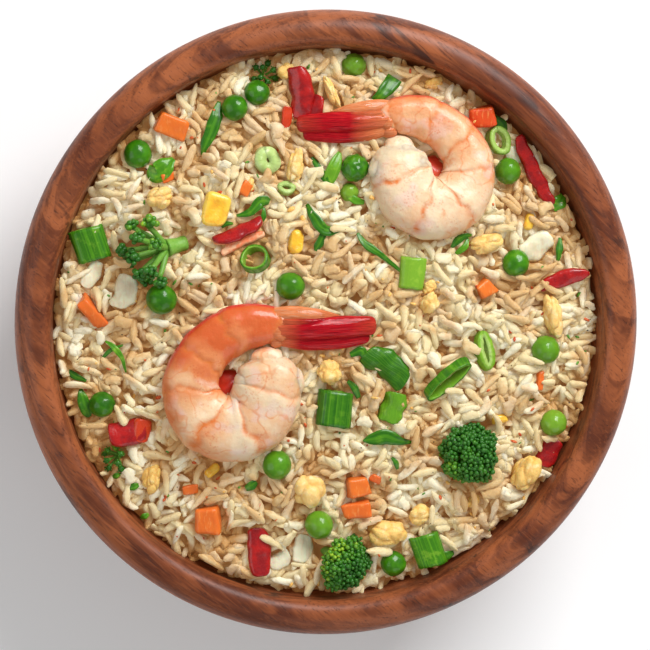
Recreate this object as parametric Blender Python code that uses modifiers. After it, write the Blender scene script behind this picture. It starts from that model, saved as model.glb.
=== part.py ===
"""Shrimp fried rice served in a turned wooden bowl, every piece its own solid at its real size.

Units are metres and +Z is up. The origin is the middle of the bowl's flat base.
Lengths that read better in millimetres are written in millimetres and multiplied by MM.
"""

import math

import bmesh
import bpy
from mathutils import Matrix, Vector, noise

MM = 0.001

# Bowl, turned from one blank.
RIM_TOP = 64.0 * MM
RIM_CREST_RADIUS = 81.2 * MM
RIM_INNER_ROUND = 3.9 * MM
RIM_OUTER_ROUND = 6.3 * MM
WIDEST_RADIUS = RIM_CREST_RADIUS + RIM_OUTER_ROUND
MOUTH_RADIUS = RIM_CREST_RADIUS - RIM_INNER_ROUND
FLOOR_HEIGHT = 9.0 * MM
BASE_RADIUS = 37.0 * MM
INNER_POWER = 2.0
OUTER_POWER = 1.95
# Radii at which the walls' outlines have a point, as shares of the mouth's and of the widest.
WALL_SHARES = (0.3, 0.55, 0.74, 0.87, 0.95, 0.99)
OUTER_SHARES = (0.975, 0.88, 0.74, 0.58)
LATHE_STEPS = 40

# Heap of rice that fills the bowl.
CLEARANCE = 0.3 * MM
HEAP_EDGE_HEIGHT = 55.0 * MM
HEAP_CROWN_RISE = 8.5 * MM
HEAP_RELIEF = 1.3 * MM
HEAP_RELIEF_SCALE = 13.0 * MM
HEAP_RIPPLE_SCALE = 6.0 * MM
HEAP_RINGS = 8
POCKET_CLEARANCE = 0.4 * MM
POCKET_TOP = 80.0 * MM

# Solid colours and roughness of what is in the bowl.
FINISHES = {
    "wood": ((0.33, 0.13, 0.06), 0.42),
    "rice": ((0.82, 0.74, 0.58), 0.45),
    "shrimp": ((0.86, 0.48, 0.31), 0.32),
    "pea": ((0.13, 0.38, 0.03), 0.28),
    "broccoli": ((0.05, 0.22, 0.03), 0.50),
    "egg": ((0.92, 0.68, 0.25), 0.45),
    "corn": ((0.93, 0.55, 0.05), 0.30),
    "carrot": ((0.86, 0.25, 0.05), 0.32),
    "pepper": ((0.58, 0.02, 0.02), 0.22),
    "scallion": ((0.10, 0.34, 0.04), 0.30),
}

# Each row: x, y and diameter in mm, and how far the centre stands over the rice.
PEAS = (
    (-20.2, 64.4, 7.3, 0.8),
    (-26.4, 60.2, 7.5, 1.4),
    (-53.2, 47.4, 8.2, 0.6),
    (-47.1, 7.4, 8.8, 1.2),
    (-11.6, 11.0, 8.2, 0.8),
    (6.6, 43.6, 7.8, 1.2),
    (5.2, 36.9, 5.4, -0.8),
    (50.4, 42.6, 7.6, 1.0),
    (52.4, 16.9, 7.8, 0.6),
    (61.1, -7.7, 8.3, 1.2),
    (63.8, -28.6, 7.8, 1.4),
    (-15.2, -38.8, 8.4, 1.4),
    (-3.1, -56.2, 8.2, 1.4),
    (18.4, -68.0, 7.4, 0.6),
    (-63.4, -22.0, 7.6, 0.6),
    (7.1, 72.0, 7.0, -0.4),
)

# Each row: x, y, length, width and height in mm, heading in degrees, and the noise seed of its lumps.
EGGS = (
    (-47.5, 35.4, 8.6, 8.2, 6.0, 20, 3),
    (-6.4, -46.0, 11.6, 11.0, 8.0, 40, 11),
    (55.0, -42.0, 12.6, 8.4, 7.4, 65, 17),
    (63.3, 1.8, 11.0, 7.0, 6.2, -80, 23),
    (44.2, 22.3, 10.4, 7.6, 6.4, 15, 31),
    (16.9, -59.0, 10.0, 7.4, 6.0, -5, 37),
    (25.9, -54.0, 6.0, 5.8, 4.6, 0, 41),
    (27.6, 6.2, 7.6, 6.4, 5.2, 70, 47),
    (-0.2, -12.6, 8.8, 7.6, 6.2, -35, 53),
    (0.6, 64.2, 9.4, 6.6, 5.2, -65, 59),
    (-49.8, -42.8, 8.8, 6.2, 5.4, 80, 61),
)

# Each row: x, y, length, width and height in mm, and heading in degrees.
CARROTS = (
    (-43.8, 55.2, 8.8, 6.0, 5.4, -22),
    (-34.2, -54.4, 6.8, 7.2, 6.0, 4),
    (7.8, -45.4, 6.0, 5.6, 5.0, 12),
    (7.6, -51.9, 7.4, 4.4, 4.4, 6),
    (-66.0, 3.5, 10.4, 4.4, 4.6, -52),
    (43.4, 57.8, 7.4, 5.8, 6.2, 8),
)
CORN = (
    (-32.2, 32.2, 8.6, 8.2, 5.2, 75),
    (-9.9, 23.2, 6.4, 4.6, 4.6, 80),
)

# Each row: x, y, length, width and thickness in mm, heading, bend along and curl across in degrees,
# and how far the middle stands over the rice in mm.
PEPPERS = (
    (-8.4, 64.6, 13.0, 6.4, 2.4, 97, 30, 60, 1.6),
    (-25.6, 25.6, 14.4, 4.6, 2.4, 26, 35, 25, 1.0),
    (57.8, 42.6, 21.0, 4.6, 2.6, -63, 18, 15, 0.6),
    (66.4, 12.4, 14.0, 4.4, 2.4, 17, -16, 30, 1.4),
    (-20.0, -63.8, 13.2, 6.4, 2.6, 95, 14, 30, 1.4),
    (63.0, -37.2, 7.4, 5.6, 2.4, 60, 10, 10, -0.2),
    (-56.6, -29.6, 10.0, 7.0, 3.4, 10, 12, 60, 1.0),
)

# Each row: x, y, length, width and height in mm, heading and pitch of the tube's axis in degrees,
# and how far the middle stands over the rice in mm.
SCALLION_TUBES = (
    (-66.4, 22.6, 9.2, 9.4, 4.6, -62, 0, 0.8),
    (0.8, -23.2, 9.8, 9.8, 6.6, 84, 0, 1.6),
    (32.6, -15.2, 4.6, 15.0, 7.0, -66, 34, 1.2),
    (43.4, -7.6, 2.4, 11.2, 5.2, 12, 62, 0.8),
    (22.6, 14.4, 8.6, 7.0, 4.6, 84, 0, 0.8),
    (-21.2, 18.4, 3.6, 7.8, 6.8, 130, 55, 1.0),
    (28.0, -64.0, 9.0, 8.4, 6.0, 110, 0, 1.2),
)
# Each row as for the peppers.
SCALLION_LEAVES = (
    (15.6, -11.2, 14.4, 8.4, 0.9, -38, -60, 70, 1.8),
    (17.2, -23.1, 8.4, 7.6, 0.9, 75, 25, 80, 0.4),
)

SCALLION_WALL = 0.9 * MM
SCALLION_SIDES = 10

# Each row: x, y, crown diameter and stem length in mm, heading and lean from upright in degrees,
# and how far the crown's middle stands over the rice in mm.
BROCCOLI = (
    (-51.2, 21.0, 14.6, 8.0, 8, -76, 2.0),
    (39.6, -35.8, 15.6, 6.0, 200, 20, 1.2),
    (2.4, -66.6, 13.6, 7.0, 150, 50, 1.2),
    (-17.6, 70.0, 6.2, 3.0, 100, 20, -0.4),
    (-60.6, -37.4, 6.6, 3.4, 200, 40, 0.2),
)

SMALL_CROWN = 9
CROWN_HEIGHT_SHARE = 0.75
STALK_SIDES = 8

# How far the middle of a piece stands over the rice, as a share of its height.
EGG_RISE = 0.16
CARROT_RISE = 0.18
CORN_RISE = 0.20
# How far a surface rises and falls, as a share of the radius, and how closely spaced its lumps are.
PEA_LUMPS, PEA_LUMP_REACH = 0.06, 1.0
EGG_LUMPS, EGG_LUMP_REACH = 0.45, 1.7
CROWN_LUMPS, CROWN_LUMP_REACH = 0.36, 2.4
CARROT_EDGE = 0.55 * MM
CARROT_TOP_SHARE = 0.9
CARROT_LEAN = 8
CORN_TIP_SHARE = 0.62
CORN_CAGE_SCALE = 1.28

# A curled tail-on shrimp seen from above, with the middle of its curl at the origin.
# Each row is a cross-section of the body: x, y, half width and half thickness in mm, from head end to tail.
SHRIMP_SECTIONS = (
    (10.4, 12.0, 4.6, 3.6),
    (10.8, 8.6, 8.2, 6.2),
    (11.0, 1.0, 9.4, 7.0),
    (8.4, -6.3, 9.5, 7.1),
    (1.7, -9.7, 9.4, 7.0),
    (-5.4, -7.7, 9.0, 6.8),
    (-9.7, -1.2, 8.1, 6.1),
    (-9.3, 6.0, 7.3, 5.6),
    (-4.7, 12.9, 6.9, 5.3),
    (2.6, 17.7, 6.6, 5.0),
    (10.4, 19.8, 5.8, 4.4),
    (17.0, 19.4, 3.6, 3.0),
)
SHRIMP_RINGS = 14
SHRIMP_RING_SIDES = 8
# Each row is one blade of the tail fan: x, y, half length, half width and half thickness in mm,
# and its heading in degrees.
TAIL_BLADES = (
    (27.4, 15.4, 12.6, 2.7, 1.9, 3),
    (28.4, 18.2, 12.8, 3.0, 2.5, -1),
    (22.4, 21.4, 9.6, 2.2, 1.9, -9),
)
BLADE_SEGMENTS = 8
BLADE_RINGS = 6
TAIL_LIFT = 2.2 * MM
SHRIMP_LIFT = 2.6 * MM
# Each row: name, x and y of the curl's middle in mm, mirrored or not, turn in degrees, scale.
SHRIMPS = (
    ("shrimp_left", -29.1, -18.5, False, 0, 1.0),
    ("shrimp_right", 29.6, 41.4, True, 4, 0.92),
)


# ---- helpers -------------------------------------------------------------------------------------


def clear_scene():
    for obj in list(bpy.data.objects):
        bpy.data.objects.remove(obj)


def new_collection(name, parent):
    collection = bpy.data.collections.new(name)
    parent.children.link(collection)
    return collection


def add_object(name, mesh, collection, matrix=None):
    obj = bpy.data.objects.new(name, mesh)
    if matrix is not None:
        obj.matrix_world = matrix
    collection.objects.link(obj)
    return obj


def add_helper(name, mesh, collection, matrix=None):
    """An object that only shapes another one, so it is drawn as wire and left out of a render."""
    obj = add_object(name, mesh, collection, matrix)
    obj.hide_render = True
    obj.display_type = "WIRE"
    return obj


def mesh_from(name, bm):
    mesh = bpy.data.meshes.new(name)
    bm.to_mesh(mesh)
    bm.free()
    return mesh


def settled_mesh(obj):
    """The object's mesh in world space with its modifiers applied."""
    bpy.context.view_layer.update()
    graph = bpy.context.evaluated_depsgraph_get()
    mesh = bpy.data.meshes.new_from_object(obj.evaluated_get(graph))
    mesh.transform(obj.matrix_world)
    return mesh


def make_materials():
    made = {}
    for name, (colour, roughness) in FINISHES.items():
        material = bpy.data.materials.new(name)
        material.use_nodes = True
        shader = material.node_tree.nodes["Principled BSDF"]
        shader.inputs["Base Color"].default_value = (*colour, 1.0)
        shader.inputs["Roughness"].default_value = roughness
        shader.inputs["Metallic"].default_value = 0.0
        made[name] = material
    return made


def finish(obj, material, smooth_angle=40):
    obj.data.materials.clear()
    obj.data.materials.append(material)
    obj.data.shade_smooth()
    obj.data.set_sharp_from_angle(angle=math.radians(smooth_angle))


def add_solidify(obj, thickness):
    modifier = obj.modifiers.new("thickness", "SOLIDIFY")
    modifier.thickness = thickness
    modifier.offset = 0.0
    modifier.use_even_offset = True


def turned(name, profile, collection):
    """A solid of revolution about Z from an outline that runs down its outer side, top to bottom."""
    mesh = bpy.data.meshes.new(name)
    edges = [(i, i + 1) for i in range(len(profile) - 1)]
    mesh.from_pydata([(radius, 0.0, z) for radius, z in profile], edges, [])
    obj = add_object(name, mesh, collection)
    screw = obj.modifiers.new("turn", "SCREW")
    screw.steps = LATHE_STEPS
    screw.render_steps = LATHE_STEPS
    screw.use_merge_vertices = True
    screw.merge_threshold = 0.00001
    return obj


# ---- bowl ----------------------------------------------------------------------------------------


def inner_radius(z):
    """Radius of the bowl's inner wall at a height between its floor and its mouth."""
    mouth = RIM_TOP - RIM_INNER_ROUND
    depth = min(1.0, max(0.0, (mouth - z) / (mouth - FLOOR_HEIGHT)))
    return MOUTH_RADIUS * (1 - depth**INNER_POWER) ** (1 / INNER_POWER)


def inner_height(radius):
    """Height of the bowl's inner wall at a radius."""
    mouth = RIM_TOP - RIM_INNER_ROUND
    share = (1 - (radius / MOUTH_RADIUS) ** INNER_POWER) ** (1 / INNER_POWER)
    return mouth - (mouth - FLOOR_HEIGHT) * share


def outer_height(radius):
    """Height of the outer wall below its widest line, which runs on down to a flat base."""
    widest = RIM_TOP - RIM_OUTER_ROUND
    share = (1 - (radius / WIDEST_RADIUS) ** OUTER_POWER) ** (1 / OUTER_POWER)
    base_share = (1 - (BASE_RADIUS / WIDEST_RADIUS) ** OUTER_POWER) ** (1 / OUTER_POWER)
    return widest * (1 - share / base_share)


def bowl_profile():
    """From the middle of the floor up the inner wall, over the rim and down to the middle of the base."""

    def rim_point(rounding, degrees):
        turn = math.radians(degrees)
        return RIM_CREST_RADIUS + rounding * math.cos(turn), RIM_TOP - rounding * (1 - math.sin(turn))

    points = [(0.0, FLOOR_HEIGHT)]
    points += [(MOUTH_RADIUS * share, inner_height(MOUTH_RADIUS * share)) for share in WALL_SHARES]
    points += [rim_point(RIM_INNER_ROUND, degrees) for degrees in (180, 135, 90)]
    points += [rim_point(RIM_OUTER_ROUND, degrees) for degrees in (60, 30, 0)]
    points += [(WIDEST_RADIUS * share, outer_height(WIDEST_RADIUS * share)) for share in OUTER_SHARES]
    points.append((BASE_RADIUS, 0.0))
    points.append((0.0, 0.0))
    return points


# ---- rice ----------------------------------------------------------------------------------------


def dome_height(x, y):
    """Height of the even dome that the rice's top follows."""
    share = min(1.0, math.hypot(x, y) / inner_radius(HEAP_EDGE_HEIGHT))
    return HEAP_EDGE_HEIGHT + HEAP_CROWN_RISE * (1 - share * share)


def heap_height(x, y):
    """Height of the rice's uneven top at a place in the bowl."""
    waves = noise.noise(Vector((x, y, 0.05)) / HEAP_RELIEF_SCALE)
    ripples = noise.noise(Vector((x, y, 0.02)) / HEAP_RIPPLE_SCALE)
    return dome_height(x, y) + HEAP_RELIEF * (waves + 0.5 * ripples)


def heap_profile():
    """From the crown out to the wall, then down the wall to the floor, one clearance inside the bowl."""
    edge = inner_radius(HEAP_EDGE_HEIGHT) - 2 * CLEARANCE
    points = [(edge * i / HEAP_RINGS, HEAP_EDGE_HEIGHT) for i in range(HEAP_RINGS + 1)]
    for share in reversed(WALL_SHARES[:-1]):
        radius = MOUTH_RADIUS * share
        points.append((radius - CLEARANCE, inner_height(radius) + CLEARANCE))
    points.append((0.0, FLOOR_HEIGHT + CLEARANCE))
    return points


def shaped_heap(helpers):
    """The turned heap with its flat top raised to the uneven surface of the rice."""
    blank = turned("heap_blank", heap_profile(), helpers)
    mesh = settled_mesh(blank)
    bpy.data.objects.remove(blank)
    for vertex in mesh.vertices:
        if abs(vertex.co.z - HEAP_EDGE_HEIGHT) < 0.1 * MM:
            vertex.co.z = heap_height(vertex.co.x, vertex.co.y)
    return mesh


def add_pocket(name, mesh, pockets, sides=6):
    """An upright prism just wider than a topping, which hollows the rice where the topping sits."""
    points = [vertex.co.copy() for vertex in mesh.vertices]
    middle = sum(points, Vector()) / len(points)
    step = 2 * math.pi / sides
    walls = [Vector((math.cos((i + 0.5) * step), math.sin((i + 0.5) * step), 0)) for i in range(sides)]
    reaches = [max((point - middle).dot(wall) for point in points) + POCKET_CLEARANCE for wall in walls]
    low = min(point.z for point in points) - POCKET_CLEARANCE
    bm = bmesh.new()
    start = Matrix.Rotation(-math.pi / 2, 4, "Z")
    bmesh.ops.create_cone(bm, cap_ends=True, segments=sides, radius1=1, radius2=1, depth=1, matrix=start)
    for vertex in bm.verts:
        # Each corner lies where two neighbouring walls meet, each its own reach away from the middle.
        i = round(math.atan2(vertex.co.y, vertex.co.x) / step) % sides
        a, b = walls[i - 1], walls[i]
        span = a.x * b.y - a.y * b.x
        x = (reaches[i - 1] * b.y - reaches[i] * a.y) / span
        y = (reaches[i] * a.x - reaches[i - 1] * b.x) / span
        vertex.co = (middle.x + x, middle.y + y, POCKET_TOP if vertex.co.z > 0 else low)
    add_helper(f"pocket_{name}", mesh_from(f"pocket_{name}", bm), pockets)


# ---- toppings ------------------------------------------------------------------------------------


def seat(x_mm, y_mm, lift_mm, heading, lean=0.0):
    """Where a topping sits: on the rice at x and y, raised by its lift, turned to its heading."""
    x, y = x_mm * MM, y_mm * MM
    place = Matrix.Translation((x, y, heap_height(x, y) + lift_mm * MM))
    turn = Matrix.Rotation(math.radians(heading), 4, "Z")
    return place @ turn @ Matrix.Rotation(math.radians(lean), 4, "Y")


def lumpy_ball(name, size, seed, lumps, reach, subdivisions=2):
    """An ellipsoid of a given size whose surface rises and falls by a share of its radius."""
    bm = bmesh.new()
    bmesh.ops.create_icosphere(bm, subdivisions=subdivisions, radius=1.0)
    for vertex in bm.verts:
        lump = noise.noise(vertex.co * reach + Vector((seed, 0.7 * seed, 0.3 * seed)))
        vertex.co *= 1 + lumps * lump
        vertex.co = Vector(c * s / 2 for c, s in zip(vertex.co, size))
    return mesh_from(name, bm)


def pea(name, x, y, diameter, lift, collection):
    size = Vector((1.0, 0.97, 0.95)) * diameter * MM
    mesh = lumpy_ball(name, size, x, PEA_LUMPS, PEA_LUMP_REACH)
    return add_object(name, mesh, collection, seat(x, y, lift, heading=3 * x))


def egg_piece(name, x, y, length, width, height, heading, seed, collection):
    mesh = lumpy_ball(name, Vector((length, width, height)) * MM, seed, EGG_LUMPS, EGG_LUMP_REACH)
    return add_object(name, mesh, collection, seat(x, y, EGG_RISE * height, heading))


def carrot_dice(name, x, y, length, width, height, heading, collection):
    bm = bmesh.new()
    bmesh.ops.create_cube(bm, size=1.0)
    for vertex in bm.verts:
        shrink = CARROT_TOP_SHARE if vertex.co.z > 0 else 1.0
        vertex.co.x *= length * MM * shrink
        vertex.co.y *= width * MM * shrink
        vertex.co.z *= height * MM
    place = seat(x, y, CARROT_RISE * height, heading, lean=CARROT_LEAN)
    obj = add_object(name, mesh_from(name, bm), collection, place)
    bevel = obj.modifiers.new("edges", "BEVEL")
    bevel.width = CARROT_EDGE
    bevel.segments = 1
    return obj


def corn_kernel(name, x, y, length, width, height, heading, collection):
    """A rounded wedge, wide at the crown and narrow where it was cut from the cob."""
    bm = bmesh.new()
    bmesh.ops.create_cube(bm, size=1.0)
    for vertex in bm.verts:
        narrow = CORN_TIP_SHARE if vertex.co.x < 0 else 1.0
        size = Vector((length, width * narrow, height * narrow)) * CORN_CAGE_SCALE * MM
        vertex.co = Vector(c * s for c, s in zip(vertex.co, size))
    obj = add_object(name, mesh_from(name, bm), collection, seat(x, y, CORN_RISE * height, heading))
    rounding = obj.modifiers.new("rounding", "SUBSURF")
    rounding.levels = 1
    rounding.render_levels = 1
    return obj


def curved_slab(name, row, cells, taper, collection):
    """A strip cut from a wall: bent along its length, curled across its width, narrower at its ends."""
    x, y, length, width, thickness, heading, bend, curl, lift = row
    bend_radius = length / math.radians(bend)
    curl_radius = width / math.radians(curl)
    middle = bend_radius * (1 - math.cos(math.radians(bend) / 2)) / 2
    bm = bmesh.new()
    bmesh.ops.create_grid(bm, x_segments=cells[0], y_segments=cells[1], size=0.5)
    for vertex in bm.verts:
        along, across = vertex.co.x, vertex.co.y
        turn = math.radians(bend) * along
        roll = math.radians(curl) * across * (1 - taper * (2 * along) ** 2)
        sideways = bend_radius * (1 - math.cos(turn)) - middle + curl_radius * math.sin(roll)
        vertex.co = Vector((bend_radius * math.sin(turn), sideways, curl_radius * (math.cos(roll) - 1))) * MM
    bmesh.ops.recalc_face_normals(bm, faces=bm.faces)
    obj = add_object(name, mesh_from(name, bm), collection, seat(x, y, lift, heading))
    add_solidify(obj, thickness * MM)
    return obj


def scallion_tube(name, row, collection):
    """A short length of hollow green leaf, pressed flatter than round."""
    x, y, length, width, height, heading, pitch, lift = row
    bm = bmesh.new()
    lying = Matrix.Rotation(math.pi / 2, 4, "Y")
    bmesh.ops.create_cone(bm, segments=SCALLION_SIDES, radius1=0.5, radius2=0.5, depth=1, matrix=lying)
    size = Vector((length * MM, width * MM - SCALLION_WALL, height * MM - SCALLION_WALL))
    bmesh.ops.scale(bm, vec=size, verts=bm.verts)
    obj = add_object(name, mesh_from(name, bm), collection, seat(x, y, lift, heading, lean=-pitch))
    add_solidify(obj, SCALLION_WALL)
    return obj


def broccoli_floret(name, row, collection, helpers):
    """A bumpy crown on a short stem, leaning over on the rice."""
    x, y, crown, stem, heading, lean, lift = row
    place = seat(x, y, lift, heading, lean=lean)
    detail = 3 if crown > SMALL_CROWN else 2
    size = Vector((crown, crown, CROWN_HEIGHT_SHARE * crown)) * MM
    dome = lumpy_ball(f"{name}_crown", size, x + y, CROWN_LUMPS, CROWN_LUMP_REACH, detail)
    obj = add_object(name, dome, collection, place)
    foot, top = 0.16 * crown * MM, 0.30 * crown * MM
    length = (stem + 0.2 * crown) * MM
    bm = bmesh.new()
    bmesh.ops.create_cone(bm, cap_ends=True, segments=STALK_SIDES, radius1=foot, radius2=top, depth=length)
    below = Matrix.Translation((0, 0, -(0.1 * crown + 0.5 * stem) * MM))
    stalk = add_helper(f"{name}_stalk", mesh_from(f"{name}_stalk", bm), helpers, place @ below)
    union = obj.modifiers.new("stalk", "BOOLEAN")
    union.operation = "UNION"
    union.object = stalk
    return obj


# ---- shrimp --------------------------------------------------------------------------------------


def smooth_rows(rows, count):
    """Rows read at even steps along a Catmull-Rom curve through the given ones."""
    read = []
    for i in range(count):
        place = i * (len(rows) - 1) / (count - 1)
        k = min(int(place), len(rows) - 2)
        t = place - k
        near = [rows[min(max(k + step, 0), len(rows) - 1)] for step in (-1, 0, 1, 2)]
        weights = (
            (-(t**3) + 2 * t**2 - t) / 2,
            (3 * t**3 - 5 * t**2 + 2) / 2,
            (-3 * t**3 + 4 * t**2 + t) / 2,
            (t**3 - t**2) / 2,
        )
        read.append([sum(w * value for w, value in zip(weights, values)) for values in zip(*near)])
    return read


def shrimp_place(x_mm, y_mm, mirrored, turn, scale):
    """The matrix that takes a shrimp's own millimetres to the bowl."""
    flip = Matrix.Diagonal((-1 if mirrored else 1, 1, 1, 1))
    spin = Matrix.Rotation(math.radians(turn), 4, "Z")
    return Matrix.Translation((x_mm * MM, y_mm * MM, 0)) @ spin @ flip @ Matrix.Scale(scale * MM, 4)


def on_dome(place, x, y, lift):
    """A point of the shrimp's own plan, at its height over the rice."""
    spot = place @ Vector((x, y, 0))
    spot.z = dome_height(spot.x, spot.y) + lift
    return spot


def shrimp_body(name, place, scale):
    """A loft through upright elliptical sections, each square to the body's line."""
    rows = smooth_rows(SHRIMP_SECTIONS, SHRIMP_RINGS)
    spots = [on_dome(place, x, y, SHRIMP_LIFT) for x, y, _, _ in rows]
    bm = bmesh.new()
    rings = []
    for i, (_, _, half_width, half_thickness) in enumerate(rows):
        ahead = (spots[min(i + 1, len(spots) - 1)] - spots[max(i - 1, 0)]).normalized()
        side = Vector((-ahead.y, ahead.x, 0)) * half_width * scale * MM
        up = Vector((0, 0, half_thickness * scale * MM))
        turns = [2 * math.pi * (j + 0.5) / SHRIMP_RING_SIDES for j in range(SHRIMP_RING_SIDES)]
        rings.append([bm.verts.new(spots[i] + side * math.cos(turn) + up * math.sin(turn)) for turn in turns])
    for near, far in zip(rings, rings[1:]):
        for j in range(SHRIMP_RING_SIDES):
            k = (j + 1) % SHRIMP_RING_SIDES
            bm.faces.new((near[j], near[k], far[k], far[j]))
    bm.faces.new(rings[0])
    bm.faces.new(rings[-1])
    bmesh.ops.recalc_face_normals(bm, faces=bm.faces)
    return mesh_from(name, bm)


def tail_blade(name, place, scale, row):
    """One long, thin, lying blade of the tail fan."""
    x, y, half_length, half_width, half_thickness, degrees = row
    own_heading = Matrix.Rotation(math.radians(degrees), 3, "Z") @ Vector((1, 0, 0))
    heading = place.to_3x3() @ own_heading
    turn = Matrix.Rotation(math.atan2(heading.y, heading.x), 4, "Z")
    half_sizes = Vector((half_length, half_width, half_thickness)) * scale * MM
    # The sphere's poles are turned to the blade's two ends.
    size = Matrix.Diagonal((*half_sizes, 1.0)) @ Matrix.Rotation(math.pi / 2, 4, "Y")
    matrix = Matrix.Translation(on_dome(place, x, y, TAIL_LIFT)) @ turn @ size
    bm = bmesh.new()
    bmesh.ops.create_uvsphere(bm, u_segments=BLADE_SEGMENTS, v_segments=BLADE_RINGS, radius=1, matrix=matrix)
    return mesh_from(name, bm)


def shrimp(name, x_mm, y_mm, mirrored, turn, scale, collection, helpers, pockets):
    """One solid: the curled body with the blades of the tail fan joined to it."""
    place = shrimp_place(x_mm, y_mm, mirrored, turn, scale)
    body = add_object(name, shrimp_body(name, place, scale), collection)
    add_pocket(f"{name}_body", body.data, pockets, sides=10)
    tail = new_collection(f"{name}_tail", helpers)
    for i, row in enumerate(TAIL_BLADES):
        blade_name = f"{name}_blade_{i + 1}"
        add_helper(blade_name, tail_blade(blade_name, place, scale, row), tail)
    fan = bpy.data.meshes.new(f"{name}_fan")
    fan.from_pydata([vertex.co for blade in tail.objects for vertex in blade.data.vertices], [], [])
    add_pocket(f"{name}_fan", fan, pockets, sides=8)
    union = body.modifiers.new("tail", "BOOLEAN")
    union.operation = "UNION"
    union.operand_type = "COLLECTION"
    union.collection = tail
    return body


# ---- assembly ------------------------------------------------------------------------------------


def numbered(kind, rows):
    return [(f"{kind}_{i + 1:02d}", row) for i, row in enumerate(rows)]


def add_toppings(dish):
    """Every topping on the rice, as a list of its object and the finish it takes."""
    made = []
    for name, row in numbered("pea", PEAS):
        made.append((pea(name, *row, dish), "pea"))
    for name, row in numbered("egg", EGGS):
        made.append((egg_piece(name, *row, dish), "egg"))
    for name, row in numbered("carrot", CARROTS):
        made.append((carrot_dice(name, *row, dish), "carrot"))
    for name, row in numbered("corn", CORN):
        made.append((corn_kernel(name, *row, dish), "corn"))
    for name, row in numbered("pepper", PEPPERS):
        made.append((curved_slab(name, row, (5, 2), 0.25, dish), "pepper"))
    for name, row in numbered("scallion_tube", SCALLION_TUBES):
        made.append((scallion_tube(name, row, dish), "scallion"))
    for name, row in numbered("scallion_leaf", SCALLION_LEAVES):
        made.append((curved_slab(name, row, (6, 3), 0.1, dish), "scallion"))
    return made


def build():
    clear_scene()
    root = bpy.context.scene.collection
    dish = new_collection("shrimp_fried_rice", root)
    helpers = new_collection("helpers", root)
    pockets = new_collection("rice_pockets", root)
    materials = make_materials()

    bowl = turned("bowl", bowl_profile(), dish)
    finish(bowl, materials["wood"])

    toppings = add_toppings(dish)
    for name, row in numbered("broccoli", BROCCOLI):
        toppings.append((broccoli_floret(name, row, dish, helpers), "broccoli"))
    for obj, material in toppings:
        add_pocket(obj.name, settled_mesh(obj), pockets)
        finish(obj, materials[material])
    for name, *row in SHRIMPS:
        finish(shrimp(name, *row, dish, helpers, pockets), materials["shrimp"])

    rice = add_object("rice", shaped_heap(helpers), dish)
    hollows = rice.modifiers.new("hollows", "BOOLEAN")
    hollows.operation = "DIFFERENCE"
    hollows.operand_type = "COLLECTION"
    hollows.collection = pockets
    finish(rice, materials["rice"])


build()
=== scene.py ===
"""Shrimp fried rice in a turned wooden bowl: the finished look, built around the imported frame.

Pieces are worked out in millimetres in the frame's own axes and written to their meshes in metres.
+Z is up and the origin is the middle of the bowl's flat base.
"""

import math
import random

import bmesh
import bpy
import numpy as np
from bpy.props import FloatProperty, FloatVectorProperty, IntProperty, PointerProperty
from mathutils import Matrix, Vector, noise
from mathutils.bvhtree import BVHTree


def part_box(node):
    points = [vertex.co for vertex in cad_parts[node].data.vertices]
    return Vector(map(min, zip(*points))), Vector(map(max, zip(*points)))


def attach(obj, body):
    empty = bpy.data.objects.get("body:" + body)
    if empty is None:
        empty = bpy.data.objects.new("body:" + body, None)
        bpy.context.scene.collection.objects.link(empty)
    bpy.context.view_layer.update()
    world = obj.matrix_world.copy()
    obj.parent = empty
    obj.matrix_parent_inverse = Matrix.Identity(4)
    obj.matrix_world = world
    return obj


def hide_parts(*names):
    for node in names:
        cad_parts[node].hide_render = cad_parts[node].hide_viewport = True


bl_info = {
    "name": "Shrimp Fried Rice Bowl",
    "version": (1, 0, 0),
    "blender": (4, 5, 0),
    "location": "3D View > Sidebar > Rice Bowl",
    "description": "Builds a wooden bowl of fried rice with shrimp and vegetables around its CAD frame",
    "category": "Object",
}

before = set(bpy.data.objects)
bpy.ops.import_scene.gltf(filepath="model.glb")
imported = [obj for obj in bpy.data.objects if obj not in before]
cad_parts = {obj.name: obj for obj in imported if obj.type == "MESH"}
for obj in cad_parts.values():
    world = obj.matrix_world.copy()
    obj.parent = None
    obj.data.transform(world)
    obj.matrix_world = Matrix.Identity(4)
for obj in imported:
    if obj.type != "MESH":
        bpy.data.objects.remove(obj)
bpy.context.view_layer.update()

MM = 0.001
ROOT = "root"
# Blender seeds noise vectors from the clock, so a fixed seed is set for the same shapes on every run.
NOISE_SEED = 20
noise.seed_set(NOISE_SEED)


# ---- where things are ----------------------------------------------------------------------------


def box_mm(node):
    """Lowest and highest corner of a CAD node in millimetres."""
    low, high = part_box(node)
    return low / MM, high / MM


def middle(node):
    low, high = box_mm(node)
    return (low + high) / 2


def sides(node):
    low, high = box_mm(node)
    return high - low


RIM_TOP = box_mm("bowl")[1].z
WIDEST_RADIUS = sides("bowl").x / 2
RIM_OUTER_ROUND = 6.3
RIM_INNER_ROUND = 3.9
RIM_CREST_RADIUS = WIDEST_RADIUS - RIM_OUTER_ROUND
MOUTH_RADIUS = RIM_CREST_RADIUS - RIM_INNER_ROUND
FLOOR_HEIGHT = 9.0
BASE_RADIUS = 37.0
OUTER_POWER = 1.95
HEAP_EDGE = 55.0
HEAP_CROWN_RISE = 8.5
HEAP_RELIEF = 1.3


def wall_radius(z):
    """Radius of the bowl's inner wall at a height."""
    mouth = RIM_TOP - RIM_INNER_ROUND
    depth = min(1.0, max(0.0, (mouth - z) / (mouth - FLOOR_HEIGHT)))
    return MOUTH_RADIUS * math.sqrt(1 - depth * depth)


def wall_height(radius):
    """Height of the bowl's inner wall at a radius."""
    mouth = RIM_TOP - RIM_INNER_ROUND
    return mouth - (mouth - FLOOR_HEIGHT) * math.sqrt(max(0.0, 1 - (radius / MOUTH_RADIUS) ** 2))


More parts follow.
